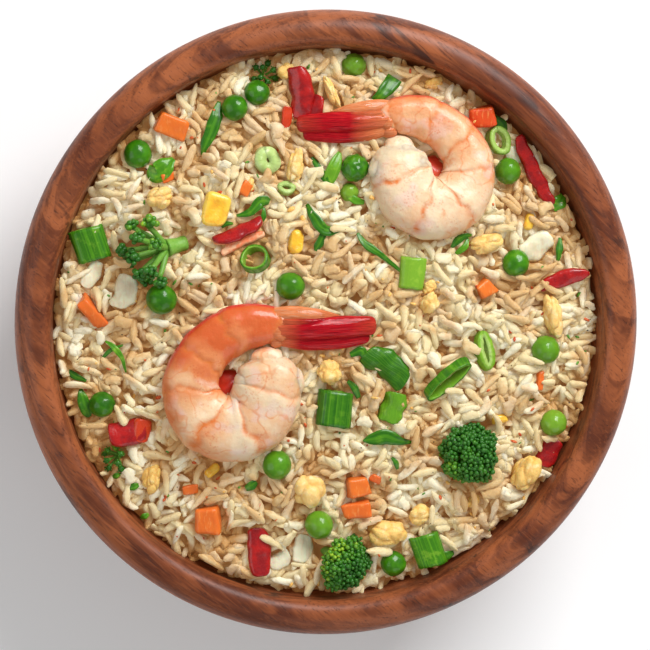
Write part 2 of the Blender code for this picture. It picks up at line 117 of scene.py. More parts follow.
def outer_height(radius):
    """Height of the bowl's outer wall at a radius, from its widest line down to the base."""
    share = (1 - (radius / WIDEST_RADIUS) ** OUTER_POWER) ** (1 / OUTER_POWER)
    base_share = (1 - (BASE_RADIUS / WIDEST_RADIUS) ** OUTER_POWER) ** (1 / OUTER_POWER)
    return (RIM_TOP - RIM_OUTER_ROUND) * (1 - share / base_share)


def dome_height(x, y):
    share = min(1.0, math.hypot(x, y) / wall_radius(HEAP_EDGE))
    return HEAP_EDGE + HEAP_CROWN_RISE * (1 - share * share)


def heap_height(x, y):
    """Height of the rice's top, with the same gentle relief as the CAD heap."""
    waves = noise.noise(Vector((x, y, 50.0)) / 13.0)
    ripples = noise.noise(Vector((x, y, 20.0)) / 6.0)
    return dome_height(x, y) + HEAP_RELIEF * (waves + 0.5 * ripples)


def seat(x, y, z, heading, lean=0.0, roll=0.0):
    """A matrix that turns a shape to its heading, leans it and sets its middle at a point."""
    turn = Matrix.Rotation(math.radians(heading), 4, "Z")
    tip = Matrix.Rotation(math.radians(lean), 4, "Y") @ Matrix.Rotation(math.radians(roll), 4, "X")
    return Matrix.Translation((x, y, z)) @ turn @ tip


def on_node(node, heading, lean=0.0, roll=0.0, lift=0.0):
    spot = middle(node)
    return seat(spot.x, spot.y, spot.z + lift, heading, lean, roll)


def on_rice(x, y, lift, heading, lean=0.0, roll=0.0):
    return seat(x, y, dome_height(x, y) + lift, heading, lean, roll)


# ---- meshes --------------------------------------------------------------------------------------


def enclosed(points, faces):
    """Volume inside a closed shape, negative where its faces look inwards."""
    corners = np.array([face[:3] for face in faces])
    last = np.array([face[-1] for face in faces])
    a, b, c, d = points[corners[:, 0]], points[corners[:, 1]], points[corners[:, 2]], points[last]
    first_half, second_half = np.cross(a, b) * c, np.cross(a, c) * d
    return (first_half.sum() + second_half.sum()) / 6


class Pile:
    """The points and faces of one piece, with named marks on its points for its material to read."""

    def __init__(self, *marks):
        self.points, self.faces, self.count = [], [], 0
        self.marks = {name: [] for name in marks}

    def add(self, points, faces, matrix=None, outward=False, **marks):
        """Adds one closed shape, and turns its faces outwards unless they are known to be."""
        points = np.asarray(points, dtype=float)
        if matrix is not None:
            turn = np.array(matrix.to_3x3())
            points = points @ turn.T + np.array(matrix.translation)
        if not outward and enclosed(points, faces) < 0:
            faces = [face[::-1] for face in faces]
        self.points.append(points)
        self.faces.extend(tuple(i + self.count for i in face) for face in faces)
        for name, store in self.marks.items():
            store.append(np.broadcast_to(np.asarray(marks.get(name, 0.0), dtype=float), (len(points),)))
        self.count += len(points)

    def piece(self, name, look, slot, nodes=(), sharp=None):
        """Makes the object, rides it on the body and hides the CAD nodes it stands for."""
        mesh = bpy.data.meshes.new(name)
        mesh.from_pydata((np.concatenate(self.points) * MM).tolist(), [], self.faces)
        for mark, values in self.marks.items():
            layer = mesh.attributes.new(mark, "FLOAT", "POINT")
            layer.data.foreach_set("value", np.concatenate(values).astype(np.float32))
        mesh.shade_smooth()
        if sharp is not None:
            mesh.set_sharp_from_angle(angle=math.radians(sharp))
        mesh.materials.append(look)
        mesh.validate()
        obj = bpy.data.objects.new(name, mesh)
        bpy.context.scene.collection.objects.link(obj)
        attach(obj, ROOT)
        if nodes:
            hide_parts(*nodes)
        return obj


def nodes_named(*kinds):
    return sorted(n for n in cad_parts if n.rstrip("0123456789").rstrip("_") in kinds)


BALLS = {}


def ball(level):
    """Points and faces of a unit sphere of even triangles."""
    if level not in BALLS:
        bm = bmesh.new()
        bmesh.ops.create_icosphere(bm, subdivisions=level, radius=1.0)
        points = np.array([vertex.co[:] for vertex in bm.verts])
        BALLS[level] = points, [tuple(vertex.index for vertex in face.verts) for face in bm.faces]
        bm.free()
    return BALLS[level]


def bumped(points, reach, height, seed):
    """Points of a ball moved in and out by smooth lumps."""
    shift = Vector((seed, 1.7 * seed, -0.6 * seed))
    rise = [noise.noise(Vector(point) * reach + shift) for point in points]
    return points * (1 + height * np.array(rise))[:, None]


def shaken(points, reach, height, seed):
    """Points moved every way by a smooth field, a few tenths of a millimetre."""
    shift = Vector((seed, -seed, 2.3 * seed))
    moves = [noise.noise_vector(Vector(point) / reach + shift) for point in points]
    return points + height * np.array([move[:] for move in moves])


def loft(rings, closed_ends=True):
    """Faces between rings of equal count, each a closed loop, with a fan over each end."""
    count = len(rings[0])
    points = np.concatenate([np.asarray(ring, dtype=float) for ring in rings])
    faces = []
    for i in range(len(rings) - 1):
        for j in range(count):
            k = (j + 1) % count
            faces.append((i * count + j, i * count + k, (i + 1) * count + k, (i + 1) * count + j))
    if closed_ends:
        first, last = len(points), len(points) + 1
        base = (len(rings) - 1) * count
        points = np.concatenate([points, [np.mean(rings[0], axis=0)], [np.mean(rings[-1], axis=0)]])
        faces += [(first, (j + 1) % count, j) for j in range(count)]
        faces += [(last, base + j, base + (j + 1) % count) for j in range(count)]
    return points, faces


def smooth_rows(rows, count):
    """Rows read at even steps along a Catmull-Rom curve through the given ones."""
    rows = np.asarray(rows, dtype=float)
    places = np.linspace(0, len(rows) - 1, count)
    k = np.minimum(places.astype(int), len(rows) - 2)
    t = (places - k)[:, None]
    before, here, ahead, after = (rows[np.clip(k + step, 0, len(rows) - 1)] for step in (-1, 0, 1, 2))
    return (
        (-(t**3) + 2 * t**2 - t) * before
        + (3 * t**3 - 5 * t**2 + 2) * here
        + (-3 * t**3 + 4 * t**2 + t) * ahead
        + (t**3 - t**2) * after
    ) / 2


def block(size, rounding, cells, seed, skew=0.12):
    """A cut cube with rounded edges whose corners don't quite match."""
    bm = bmesh.new()
    bmesh.ops.create_cube(bm, size=2.0)
    bmesh.ops.subdivide_edges(bm, edges=bm.edges[:], cuts=cells, use_grid_fill=True)
    points = np.array([vertex.co[:] for vertex in bm.verts])
    faces = [tuple(vertex.index for vertex in face.verts) for face in bm.faces]
    bm.free()
    half = np.array(size) / 2
    solid = points * half
    core = np.clip(solid, -(half - rounding), half - rounding)
    away = solid - core
    reach = np.linalg.norm(away, axis=1, keepdims=True)
    solid = core + away * np.minimum(1.0, rounding / np.maximum(reach, 1e-6))
    draw = random.Random(seed)
    lean = np.array([[draw.uniform(-skew, skew) for _ in range(3)] for _ in range(3)])
    solid = solid + (points[:, [1, 2, 0]] * points[:, [2, 0, 1]]) @ (lean * half)
    solid *= 1 + 0.08 * points[:, [2]] * draw.uniform(-1, 1)
    return shaken(solid, 2.6, 0.22, seed), faces


def slab(length, width, thickness, bend, curl, taper=0.1, cells=(28, 10), ragged=0.25, seed=0):
    """A strip cut from a curved wall. Mark: how far through it a point is."""
    bend_radius = length / math.radians(bend or 0.5)
    curl_radius = width / math.radians(curl or 0.5)
    nu, nv = cells
    rows = []
    for i in range(nu + 1):
        u = i / nu - 0.5
        # The ends are rounded off a little and the long edges wander.
        end = max(0.0, 1 - abs(2 * u) ** 7) ** 0.5 * 0.35 + 0.65 if abs(u) < 0.5 else 0.55
        narrow = (1 - taper * (2 * u) ** 2) * end
        wander = ragged * noise.noise(Vector((u * length / 3.0, seed, 0.0)))
        loop = []
        for side in (1, -1):
            for j in range(nv + 1):
                v = (j / nv - 0.5) if side > 0 else (0.5 - j / nv)
                edge = max(0.0, 1 - abs(2 * v) ** 6) ** 0.5
                out = 0.5 * thickness * side * (0.25 + 0.75 * edge)
                turn = math.radians(bend or 0.5) * u
                roll = math.radians(curl or 0.5) * v * narrow
                reach = curl_radius + out
                y = bend_radius * (1 - math.cos(turn)) + reach * math.sin(roll) + wander
                z = reach * math.cos(roll) - curl_radius
                loop.append((bend_radius * math.sin(turn), y, z))
        rows.append(loop)
    points, faces = loft(rows)
    count = 2 * (nv + 1)
    through = np.array([1.0] * (nv + 1) + [0.0] * (nv + 1))
    skin = np.concatenate([np.tile(through, nu + 1), [0.5, 0.5]])
    points[:, 1] -= bend_radius * (1 - math.cos(math.radians(bend or 0.5) / 2)) / 2
    assert len(points) == count * (nu + 1) + 2
    return points, [face[::-1] for face in faces], skin


def tube(length, width, height, wall, seed, cells=(10, 28), squash=0.0, slant=0.0):
    """A cut length of hollow leaf. Marks: 1 on its outer skin, 0 inside, and a rib value around it."""
    nu, nv = cells
    rings, skin, ribs = [], [], []
    for inside in (0, 1):
        for i in range(nu + 1):
            u = i / nu - 0.5
            if inside:
                u = -u
            ring = []
            for j in range(nv):
                turn = 2 * math.pi * j / nv
                wobble = 1 + 0.10 * noise.noise(Vector((math.cos(turn), math.sin(turn), seed + u)))
                ry = (0.5 * width - inside * wall) * wobble
                rz = (0.5 * height - inside * wall) * wobble
                y, z = ry * math.cos(turn), rz * math.sin(turn)
                z -= squash * height * math.exp(-((y / (0.3 * width)) ** 2)) * (1 if z > 0 else 0)
                x = length * u + slant * y + 0.35 * noise.noise(Vector((y, z, seed))) * (2 * u)
                ring.append((x, y, z))
                skin.append(1.0 - inside)
                ribs.append(turn)
            rings.append(ring)
    points, faces = loft(rings + [rings[0]], closed_ends=False)
    # The last ring is the first again: its faces close the end of the wall.
    keep = len(points) - nv
    faces = [tuple(i - keep if i >= keep else i for i in face) for face in faces]
    return points[:keep], [face[::-1] for face in faces], np.array(skin), np.array(ribs)


def ribbon(path, widths, thickness=0.45, twist=0.0, cup=0.25, steps=26, across=4):
    """A thin shred along a path of points. Marks: 1 on its upper face, 0 below."""
    rows = smooth_rows(path, steps)
    wide = smooth_rows([[w] for w in widths], steps)[:, 0]
    rings = []
    for i in range(steps):
        ahead = rows[min(i + 1, steps - 1)] - rows[max(i - 1, 0)]
        ahead /= np.linalg.norm(ahead)
        roll = math.radians(twist) * (i / (steps - 1) - 0.5)
        flat = np.cross((0, 0, 1), ahead)
        flat /= np.linalg.norm(flat)
        up = np.cross(ahead, flat)
        side = flat * math.cos(roll) + up * math.sin(roll)
        lift = -flat * math.sin(roll) + up * math.cos(roll)
        half = max(0.06, 0.5 * wide[i])
        loop = []
        for face in (1, -1):
            for j in range(across + 1):
                v = (2 * j / across - 1) * face
                out = face * 0.5 * thickness * min(1.0, half) * (1 - 0.7 * v * v) - cup * half * (1 - v * v)
                loop.append(rows[i] + side * half * v + lift * out)
        rings.append(loop)
    points, faces = loft(rings)
    top = np.concatenate([np.tile([1.0] * (across + 1) + [0.0] * (across + 1), steps), [0.5, 0.5]])
    return points, [face[::-1] for face in faces], top


def rod(path, radii, sides_count=10, steps=8):
    """A tapering round stem along a path."""
    rows = smooth_rows(path, steps)
    size = smooth_rows([[r] for r in radii], steps)[:, 0]
    rings = []
    for i in range(steps):
        ahead = rows[min(i + 1, steps - 1)] - rows[max(i - 1, 0)]
        ahead /= max(1e-6, np.linalg.norm(ahead))
        side = np.cross(ahead, (0.31, 0.22, 0.93) if abs(ahead[2]) < 0.9 else (1.0, 0.1, 0.0))
        side /= np.linalg.norm(side)
        up = np.cross(ahead, side)
        turns = np.linspace(0, 2 * math.pi, sides_count, endpoint=False)
        rings.append(rows[i] + size[i] * (np.cos(turns)[:, None] * side + np.sin(turns)[:, None] * up))
    points, faces = loft(rings)
    return points, faces


# ---- materials -----------------------------------------------------------------------------------


class Value:
    """A node's output, used in plain Python maths."""

    def __init__(self, look, socket):
        self.look, self.socket = look, socket

    def __add__(self, other):
        return self.look.maths("ADD", self, other)

    def __sub__(self, other):
        return self.look.maths("SUBTRACT", self, other)

    def __rsub__(self, other):
        return self.look.maths("SUBTRACT", other, self)

    def __mul__(self, other):
        return self.look.maths("MULTIPLY", self, other)

    def __truediv__(self, other):
        return self.look.maths("DIVIDE", self, other)

    def __pow__(self, other):
        return self.look.maths("POWER", self, other)

    __radd__ = __add__
    __rmul__ = __mul__

    def clip(self):
        return self.look.node("ShaderNodeMath", {"operation": "ADD", "use_clamp": True}, {0: self, 1: 0.0})

    def between(self, low, high):
        """0 below low, 1 above high and a smooth rise between them; falls where high is the lower."""
        settings = {"interpolation_type": "SMOOTHSTEP"}
        if high > low:
            return self.look.node("ShaderNodeMapRange", settings,
                {"Value": self, "From Min": low, "From Max": high})
        return 1 - self.between(high, low)


class Look:
    """One material in the making, with its coordinates in millimetres."""

    def __init__(self, name, **constants):
        self.material = bpy.data.materials.new(name)
        self.material.use_nodes = True
        self.tree = self.material.node_tree
        self.shader = next(n for n in self.tree.nodes if n.type == "BSDF_PRINCIPLED")
        for key, value in constants.items():
            self.shader.inputs[key.replace("_", " ")].default_value = value
        metres = self.node("ShaderNodeTexCoord", out="Object")
        self.place = self.node("ShaderNodeVectorMath", {"operation": "SCALE"}, {0: metres, "Scale": 1 / MM})

    def node(self, kind, settings=None, inputs=None, out=0):
        """Adds any node: settings first, then values or links for its sockets."""
        node = self.tree.nodes.new(kind)
        for key, value in (settings or {}).items():
            if key == "stops":
                ramp = node.color_ramp
                while len(ramp.elements) < len(value):
                    ramp.elements.new(0.5)
                for element, (position, colour) in zip(ramp.elements, value):
                    element.position = position
                    element.color = (*colour, 1.0)
            else:
                setattr(node, key, value)
        for key, value in (inputs or {}).items():
            self.feed(node.inputs[key], value)
        return Value(self, node.outputs[out])

    def feed(self, socket, value):
        if isinstance(value, Value):
            self.tree.links.new(value.socket, socket)
        elif socket.type == "RGBA":
            socket.default_value = (*value, 1.0)[:4]
        else:
            socket.default_value = value

    def maths(self, operation, a, b):
        return self.node("ShaderNodeMath", {"operation": operation}, {0: a, 1: b})

    def mark(self, name):
        return self.node("ShaderNodeAttribute", {"attribute_name": name}, out="Fac")

    def stretched(self, scale, place=None):
        """Coordinates multiplied along each axis, so that a pattern runs long one way."""
        return self.node("ShaderNodeVectorMath", {"operation": "MULTIPLY"},
            {0: place or self.place, 1: scale})

    def noise(self, size, detail=2.0, rough=0.5, place=None, distortion=0.0):
        """Soft noise whose blotches are about so many millimetres."""
        inputs = {"Vector": place or self.place, "Scale": 1.0 / size, "Detail": detail, "Roughness": rough}
        inputs["Distortion"] = distortion
        return self.node("ShaderNodeTexNoise", {}, inputs)

    def cells(self, size, place=None, feature="F1", out="Distance"):
        inputs = {"Vector": place or self.place, "Scale": 1.0 / size}
        return self.node("ShaderNodeTexVoronoi", {"feature": feature}, inputs, out)

    def mix(self, a, b, share, blend="MIX"):
        """Colour a with a share of colour b."""
        settings = {"data_type": "RGBA", "blend_type": blend}
        return self.node("ShaderNodeMix", settings, {0: share, 6: a, 7: b}, out=2)

    def ramp(self, value, *stops):
        return self.node("ShaderNodeValToRGB", {"stops": stops}, {"Fac": value})

    def finish(self, colour, roughness=None, height=None, bump=0.1, coat=None):
        """Feeds the shader and gives back the material. Bump is in millimetres."""
        self.feed(self.shader.inputs["Base Color"], colour)
        # A painted glow takes the surface's own colour.
        if self.shader.inputs["Emission Strength"].default_value > 0:
            self.feed(self.shader.inputs["Emission Color"], colour)
        if roughness is not None:
            self.feed(self.shader.inputs["Roughness"], roughness)
        if coat is not None:
            self.feed(self.shader.inputs["Coat Weight"], coat)
        if height is not None:
            inputs = {"Height": height, "Distance": bump * MM, "Strength": 1.0}
            self.feed(self.shader.inputs["Normal"], self.node("ShaderNodeBump", {}, inputs))
        return self.material


def soft(name, weight, reach, radius=(1.0, 0.55, 0.35), **constants):
    """A moist, slightly see-through food material."""
    look = Look(name, Subsurface_Weight=weight, Subsurface_Scale=reach * MM, **constants)
    look.shader.inputs["Subsurface Radius"].default_value = radius
    return look


def wood_look(colours):
    """Oiled reddish wood: growth rings, long fibres, dark mineral streaks and fine open pores."""
    look = Look("oiled_wood", Specular_IOR_Level=0.15)
    look.shader.inputs["Coat Roughness"].default_value = 0.32
    turn = {"Vector": look.place, "Rotation": (math.radians(8), math.radians(-6), math.radians(-48))}
    along = look.node("ShaderNodeMapping", {}, turn)
    sway = look.noise(34, 3, 0.55, look.stretched((1, 0.35, 1), along)) - 0.5
    axes = look.node("ShaderNodeSeparateXYZ", {}, {"Vector": along}, out="X")
    depth = Value(look, axes.socket.node.outputs["Z"])
    from_pith = ((axes + 34) ** 2 + (depth + 150) ** 2) ** 0.5 + sway * 30
    rings = look.maths("FRACT", from_pith / 6.5, 0.0)
    late = rings.between(0.35, 0.95) * (1 - rings.between(0.95, 1.0))
    broad = look.noise(26, 3, 0.6, look.stretched((1, 0.30, 1), along))
    fibres = look.noise(0.8, 3, 0.6, look.stretched((1, 0.06, 1), along), distortion=0.4)
    hairs = look.noise(0.33, 2, 0.6, look.stretched((1, 0.05, 1), along))
    layers = look.noise(1.5, 3, 0.6, look.stretched((0.12, 0.05, 1), along), distortion=0.3)
    streaks = look.noise(5.2, 3, 0.62, look.stretched((1, 0.10, 1), along), distortion=0.6)
    knots = look.noise(17, 4, 0.65, look.stretched((1, 0.45, 1), along))
    shade = look.mix(colours.light, colours.middle, (broad * 4.4 - 1.75 + late * 0.35).clip())
    shade = look.mix(shade, colours.dark, (late * 0.55 * layers.between(0.36, 0.56)).clip())
    shade = look.mix(shade, colours.dark, (layers.between(0.48, 0.62) * 0.55).clip())
    shade = look.mix(shade, colours.light, ((1 - layers).between(0.52, 0.66) * 0.40).clip())
    shade = look.mix(shade, colours.streak,
        (streaks.between(0.57, 0.68) * knots.between(0.42, 0.58) * 0.85).clip())
    shade = look.mix(shade, colours.dark, (fibres.between(0.50, 0.66) * 0.18).clip())
    shade = look.mix(shade, colours.light, ((1 - fibres).between(0.52, 0.66) * 0.30).clip())
    pores = hairs.between(0.60, 0.68)
    shade = look.mix(shade, colours.streak, pores * 0.50)
    height = fibres * 0.5 - pores * 0.8
    gloss = 0.34 + fibres * 0.16 + broad * 0.10
    return look.finish(shade, roughness=gloss, height=height, bump=0.12, coat=0.16 + broad * 0.16)


def rice_look(name, colours, deep):
    """A cooked grain: pale body, clearer ends, warmer where the oil has run, and painted shade, warmer and
    darker, deep between grains.
    """
    # A faint glow stands for the light that wanders through a whole heap of clear grains.
    look = soft(name, 0.6, 1.6, (1.0, 0.9, 0.75), IOR=1.38, Specular_IOR_Level=0.30, Emission_Strength=0.16)
    tone, end, low = look.mark("tone"), look.mark("end"), look.mark("low")
    patches = look.noise(13, 3, 0.5).between(0.41, 0.58)
    shade = look.mix(colours.pale, colours.cream, tone.between(0.10, 0.62))
    shade = look.mix(shade, colours.clear, tone.between(0.62, 1.0) * 0.40)
    cloud = look.noise(2.2, 3, 0.6) - 0.5
    # The oil colour is partly real oil and partly painted shade on low and deep grains; patches, tone and
    # cloud vary it at random.
    warm = (low * 0.95 - 0.20 + patches * 0.82 + tone * 0.12 + deep * 0.2 + cloud * 0.4).clip()
    shade = look.mix(shade, colours.clear, (end * 0.35 + cloud.between(0.05, 0.3) * 0.4).clip())
    shade = look.mix(shade, colours.oiled, warm)
    # Painted shade: grains lying deepest between others take the dark gap colour.
    shade = look.mix(shade, colours.gap, low.between(0.55, 1.0) * 0.70)
    brown = look.noise(2.6, 3, 0.6).between(0.64, 0.74)
    shade = look.mix(shade, colours.browned, brown * 0.34)
    grain = look.noise(0.6, 2, 0.6)
    height = grain * 0.6 + look.noise(1.5, 2)
    return look.finish(shade, roughness=0.34 + grain * 0.22, height=height, bump=0.30)


def bed_look(colours):
    """Packed rice under the loose grains, seen only in the gaps, coloured with the painted gap shade and
    given a faint painted glow.
    """
    look = soft("rice_bed", 0.2, 1.5, Emission_Strength=0.14)
    lumps = look.cells(2.6, look.stretched((1, 0.55, 1)))
    shade = look.mix(colours.gap, colours.oiled, lumps.between(0.62, 0.18) * 0.5)
    shade = look.mix(shade, colours.browned, look.noise(5, 3).between(0.5, 0.7) * 0.6)
    return look.finish(shade, roughness=0.5 + lumps * 0.1, height=1 - lumps, bump=0.5)


def flesh_look(colours):
    """Cooked shrimp: milky flesh, orange where the shell's colour stayed, veins and fine freckles."""
    look = soft("shrimp_flesh", 0.38, 2.6, IOR=1.40, Specular_IOR_Level=0.34)
    look.shader.inputs["Coat Roughness"].default_value = 0.16
    warm, vein, rim = look.mark("warm"), look.mark("vein"), look.mark("rim")
    cloud = look.noise(5.5, 3, 0.55) - 0.5
    fine = look.noise(1.3, 3, 0.6) - 0.5
    heat = (warm + cloud * 0.55 + fine * 0.14).clip()
    shade = look.ramp(heat, (0.0, colours.milk), (0.30, colours.blush), (0.62, colours.peach),
        (1.0, colours.orange))
    lilac = look.noise(6.5, 2, 0.5, look.stretched((1, 1, 1))).between(0.52, 0.66)
    shade = look.mix(shade, colours.lilac, lilac * (1 - heat.between(0.35, 0.7)) * 0.30)
    bends = look.noise(8.5, 2, 0.45)
    thread = bends.between(0.470, 0.492) * (1 - bends.between(0.498, 0.520)) * heat.between(0.02,
        0.16) * (1 - heat.between(0.6, 0.9))
    line = ((vein + thread * 0.46) * look.noise(1.6, 3, 0.6).between(0.22, 0.50)).clip()
    shade = look.mix(shade, colours.vein, line * 0.95)
    dots = look.cells(0.80).between(0.42, 0.26) * look.noise(4.0, 2).between(0.50, 0.62)
    shade = look.mix(shade, colours.freckle, (dots * (0.26 + heat * 0.4)).clip())
    shade = look.mix(shade, colours.red, (rim + rim * cloud * 0.9).clip())
    fibres = look.noise(0.8, 3, 0.6)
    height = fibres * 0.5 + look.noise(2.6, 2) - vein * 0.25
    return look.finish(shade, roughness=0.30 + fibres * 0.16, height=height, bump=0.26,
        coat=0.22 + heat * 0.3)


def tail_look(colours):
    """The shell of the tail fan: glossy crimson streaks with pale and amber places."""
    look = soft("shrimp_tail", 0.04, 1.0, IOR=1.45, Specular_IOR_Level=0.10)
    look.shader.inputs["Coat Roughness"].default_value = 0.07
    along, lane, pale = look.mark("along"), look.mark("lane"), look.mark("pale")
    lines = look.node("ShaderNodeCombineXYZ", {}, {"X": along * 1.1, "Y": lane * 9.0, "Z": pale * 2.0})
    streak = look.noise(1.0, 3, 0.6, lines)
    fine = look.noise(0.42, 2, 0.6, lines)
    shade = look.ramp(streak, (0.30, colours.deep), (0.50, colours.crimson), (0.68, colours.red),
        (0.80, colours.orange))
    shade = look.mix(shade, colours.deep, fine.between(0.55, 0.70) * 0.55)
    amber = (pale * (0.45 + streak * 1.1)).clip()
    shade = look.mix(shade, colours.amber, amber)
    shade = look.mix(shade, colours.milk, (pale.between(0.7, 1.2) * streak.between(0.5, 0.64) * 0.4).clip())
    return look.finish(shade, roughness=0.22 + streak * 0.2, height=streak + fine * 0.5, bump=0.42,
        coat=0.16 + streak.between(0.45, 0.65) * 0.4)


def pea_look(colours):
    look = soft("green_pea", 0.10, 1.4, IOR=1.45, Specular_IOR_Level=0.18)
    look.shader.inputs["Coat Roughness"].default_value = 0.08
    tone = look.mark("tone")
    cloud = look.noise(3.4, 3, 0.55)
    shade = look.mix(colours.pea_dark, colours.pea,
        (cloud.between(0.35, 0.62) * 0.6 + tone * 0.8 - 0.25).clip())
    shade = look.mix(shade, colours.pea_light,
        (tone.between(0.6, 1.0) * 0.8 + cloud.between(0.58, 0.72) * 0.25).clip())
    pits = look.noise(0.6, 2, 0.6)
    return look.finish(shade, roughness=0.26 + pits * 0.14, height=pits * 0.4 + cloud, bump=0.14,
        coat=0.34 + cloud * 0.2)


def broccoli_look(colours):
    look = soft("broccoli", 0.06, 1.0, Specular_IOR_Level=0.3)
    look.shader.inputs["Coat Roughness"].default_value = 0.25
    bud, tone = look.mark("bud"), look.mark("tone")
    mottle = look.noise(0.9, 3, 0.6)
    crown = look.mix(colours.floret_dark, colours.floret, (tone * 0.9 + mottle * 0.8 - 0.5).clip())
    crown = look.mix(crown, colours.floret_light,
        (tone.between(0.55, 1.0) * mottle.between(0.40, 0.62)).clip())
    stalk = look.mix(colours.stalk, colours.floret, mottle.between(0.48, 0.66) * 0.5)
    shade = look.mix(stalk, crown, bud)
    return look.finish(shade, roughness=0.38 + mottle * 0.2, height=mottle, bump=0.22,
        coat=0.30 * bud + mottle * 0.15)


def egg_look(colours):
    look = soft("scrambled_egg", 0.26, 1.8, Specular_IOR_Level=0.45)
    tone, fold = look.mark("tone"), look.mark("fold")
    cloud = look.noise(2.3, 3, 0.6)
    shade = look.mix(colours.egg, colours.egg_white, (cloud.between(0.50, 0.70) * 0.7 + tone * 0.5).clip())
    # Painted shade: the curds' folds turn yellower and the deepest browner; the noise spots are real
    # browning.
    shade = look.mix(shade, colours.yolk, (fold * 0.30 + look.noise(3.1, 2).between(0.55, 0.70) * 0.4).clip())
    shade = look.mix(shade, colours.egg_browning_and_fold_shade,
        (fold.between(0.55, 1.0) * 0.25 + look.noise(1.3, 3).between(0.68, 0.76) * 0.3).clip())
    pores = look.noise(0.5, 3, 0.65)
    return look.finish(shade, roughness=0.36 + pores * 0.2, height=pores + cloud, bump=0.30)


def corn_look(colours):
    look = soft("sweetcorn", 0.22, 1.4, IOR=1.44)
    look.shader.inputs["Coat Roughness"].default_value = 0.16
    rim, cloud = look.mark("rim"), look.noise(2.8, 3, 0.55)
    shade = look.mix(colours.corn, colours.corn_light, (rim * 0.8 + cloud.between(0.52, 0.70) * 0.4).clip())
    shade = look.mix(shade, colours.corn_dark, cloud.between(0.50, 0.34) * 0.5)
    return look.finish(shade, roughness=0.28 + cloud * 0.1, height=look.noise(0.7, 2) + cloud, bump=0.15,
        coat=0.35 + cloud * 0.1)


def carrot_look(colours):
    look = soft("carrot", 0.14, 1.2, IOR=1.42, Specular_IOR_Level=0.3)
    look.shader.inputs["Coat Roughness"].default_value = 0.2
    tone = look.mark("tone")
    cloud, threads = look.noise(2.6, 3, 0.6), look.noise(0.7, 3, 0.6, look.stretched((1, 0.3, 1)))
    shade = look.mix(colours.carrot, colours.carrot_red, (tone + (cloud - 0.5) * 0.6).clip())
    shade = look.mix(shade, colours.carrot_light, (threads.between(0.54, 0.70) * 0.55).clip())
    return look.finish(shade, roughness=0.30 + threads * 0.2, height=threads + cloud * 0.5, bump=0.20,
        coat=0.2 + cloud * 0.2)


def pepper_look(colours):
    look = soft("red_pepper", 0.08, 1.0, IOR=1.46, Specular_IOR_Level=0.35)
    look.shader.inputs["Coat Roughness"].default_value = 0.10
    skin, tone = look.mark("skin"), look.mark("tone")
    cloud = look.noise(3.2, 3, 0.6)
    outside = look.mix(colours.pepper_dark, colours.pepper,
        (cloud.between(0.35, 0.62) * 0.8 + tone * 0.3).clip())
    inside = look.mix(colours.pepper_flesh, colours.pepper_pale, cloud.between(0.45, 0.65))
    outside = look.mix(outside, colours.carrot_red, tone.between(0.5, 1.0) * 0.6)
    shade = look.mix(inside, outside, skin.between(0.35, 0.62))
    pits = look.noise(0.7, 2)
    return look.finish(shade, roughness=0.20 + pits * 0.16, height=pits * 0.5 + cloud, bump=0.22,
        coat=0.12 + skin * 0.25)


def scallion_look(colours):
    """Spring onion leaf: ribbed dark green skin, paler inside and towards the white of the stem."""
    look = soft("scallion", 0.05, 1.0, IOR=1.42, Specular_IOR_Level=0.2)
    look.shader.inputs["Coat Roughness"].default_value = 0.18
    skin, lane, tone = look.mark("skin"), look.mark("lane"), look.mark("tone")
    lanes = look.node("ShaderNodeCombineXYZ", {}, {"X": lane * 7.0, "Y": tone * 3.0, "Z": 0.0})
    ribs = look.noise(1.0, 2, 0.5, lanes)
    cloud = look.noise(2.6, 3, 0.6)
    dark = look.mix(colours.leaf_dark, colours.leaf,
        (ribs.between(0.38, 0.64) * 0.5 + cloud * 0.7 + tone * 1.6 - 0.3).clip())
    outside = look.mix(dark, colours.leaf_light,
        (tone.between(0.25, 0.75) * 0.75 + ribs.between(0.56, 0.70) * 0.20).clip())
    outside = look.mix(outside, colours.leaf_light, (cloud.between(0.52, 0.68) * (tone * 1.4 + 0.12)).clip())
    outside = look.mix(outside, colours.leaf_white, tone.between(0.72, 1.0) * 0.75)
    inside = look.mix(colours.leaf_light, colours.leaf_white,
        (tone * 0.5 + cloud.between(0.5, 0.7) * 0.4).clip())
    inside = look.mix(colours.leaf, inside, (tone * 1.5 + 0.30).clip())
    shade = look.mix(inside, outside, skin.between(0.3, 0.7))
    return look.finish(shade, roughness=0.28 + ribs * 0.18, height=ribs + cloud * 0.4, bump=0.24,
        coat=0.20 + skin * 0.20)


def onion_look(colours):
    look = soft("onion", 0.35, 1.6, IOR=1.4)
    lines, cloud = look.noise(0.9, 2, 0.5, look.stretched((1, 0.2, 1))), look.noise(3.0, 3)
    shade = look.mix(colours.onion, colours.onion_pink, cloud.between(0.45, 0.65) * 0.7)
    shade = look.mix(shade, colours.oiled, lines.between(0.55, 0.7) * 0.3)
    return look.finish(shade, roughness=0.26 + lines * 0.2, height=lines + cloud, bump=0.2)


def fleck_look(name, a, b):
    look = Look(name, Specular_IOR_Level=0.4)
    mottle = look.noise(0.5, 3, 0.6)
    return look.finish(look.mix(a, b, mottle.between(0.4, 0.6)), roughness=0.45 + mottle * 0.2,
        height=mottle, bump=0.12)


def floor_look(colour):
    look = Look("pale_floor", Specular_IOR_Level=0.1)
    cloud = look.noise(220, 2)
    return look.finish(look.mix(colour, (0.93, 0.93, 0.93), cloud * 0.3), roughness=0.85 + cloud * 0.05)


# ---- the sizes and colours a user would change ---------------------------------------------------


def tint(name, text, *rgb):
    return FloatVectorProperty(name=name, description=text, default=rgb, subtype="COLOR", size=3, min=0,
        max=1)


def span(name, text, default, low, high):
    return FloatProperty(name=name, description=text, default=default, min=low, max=high,
        subtype="DISTANCE", unit="LENGTH")


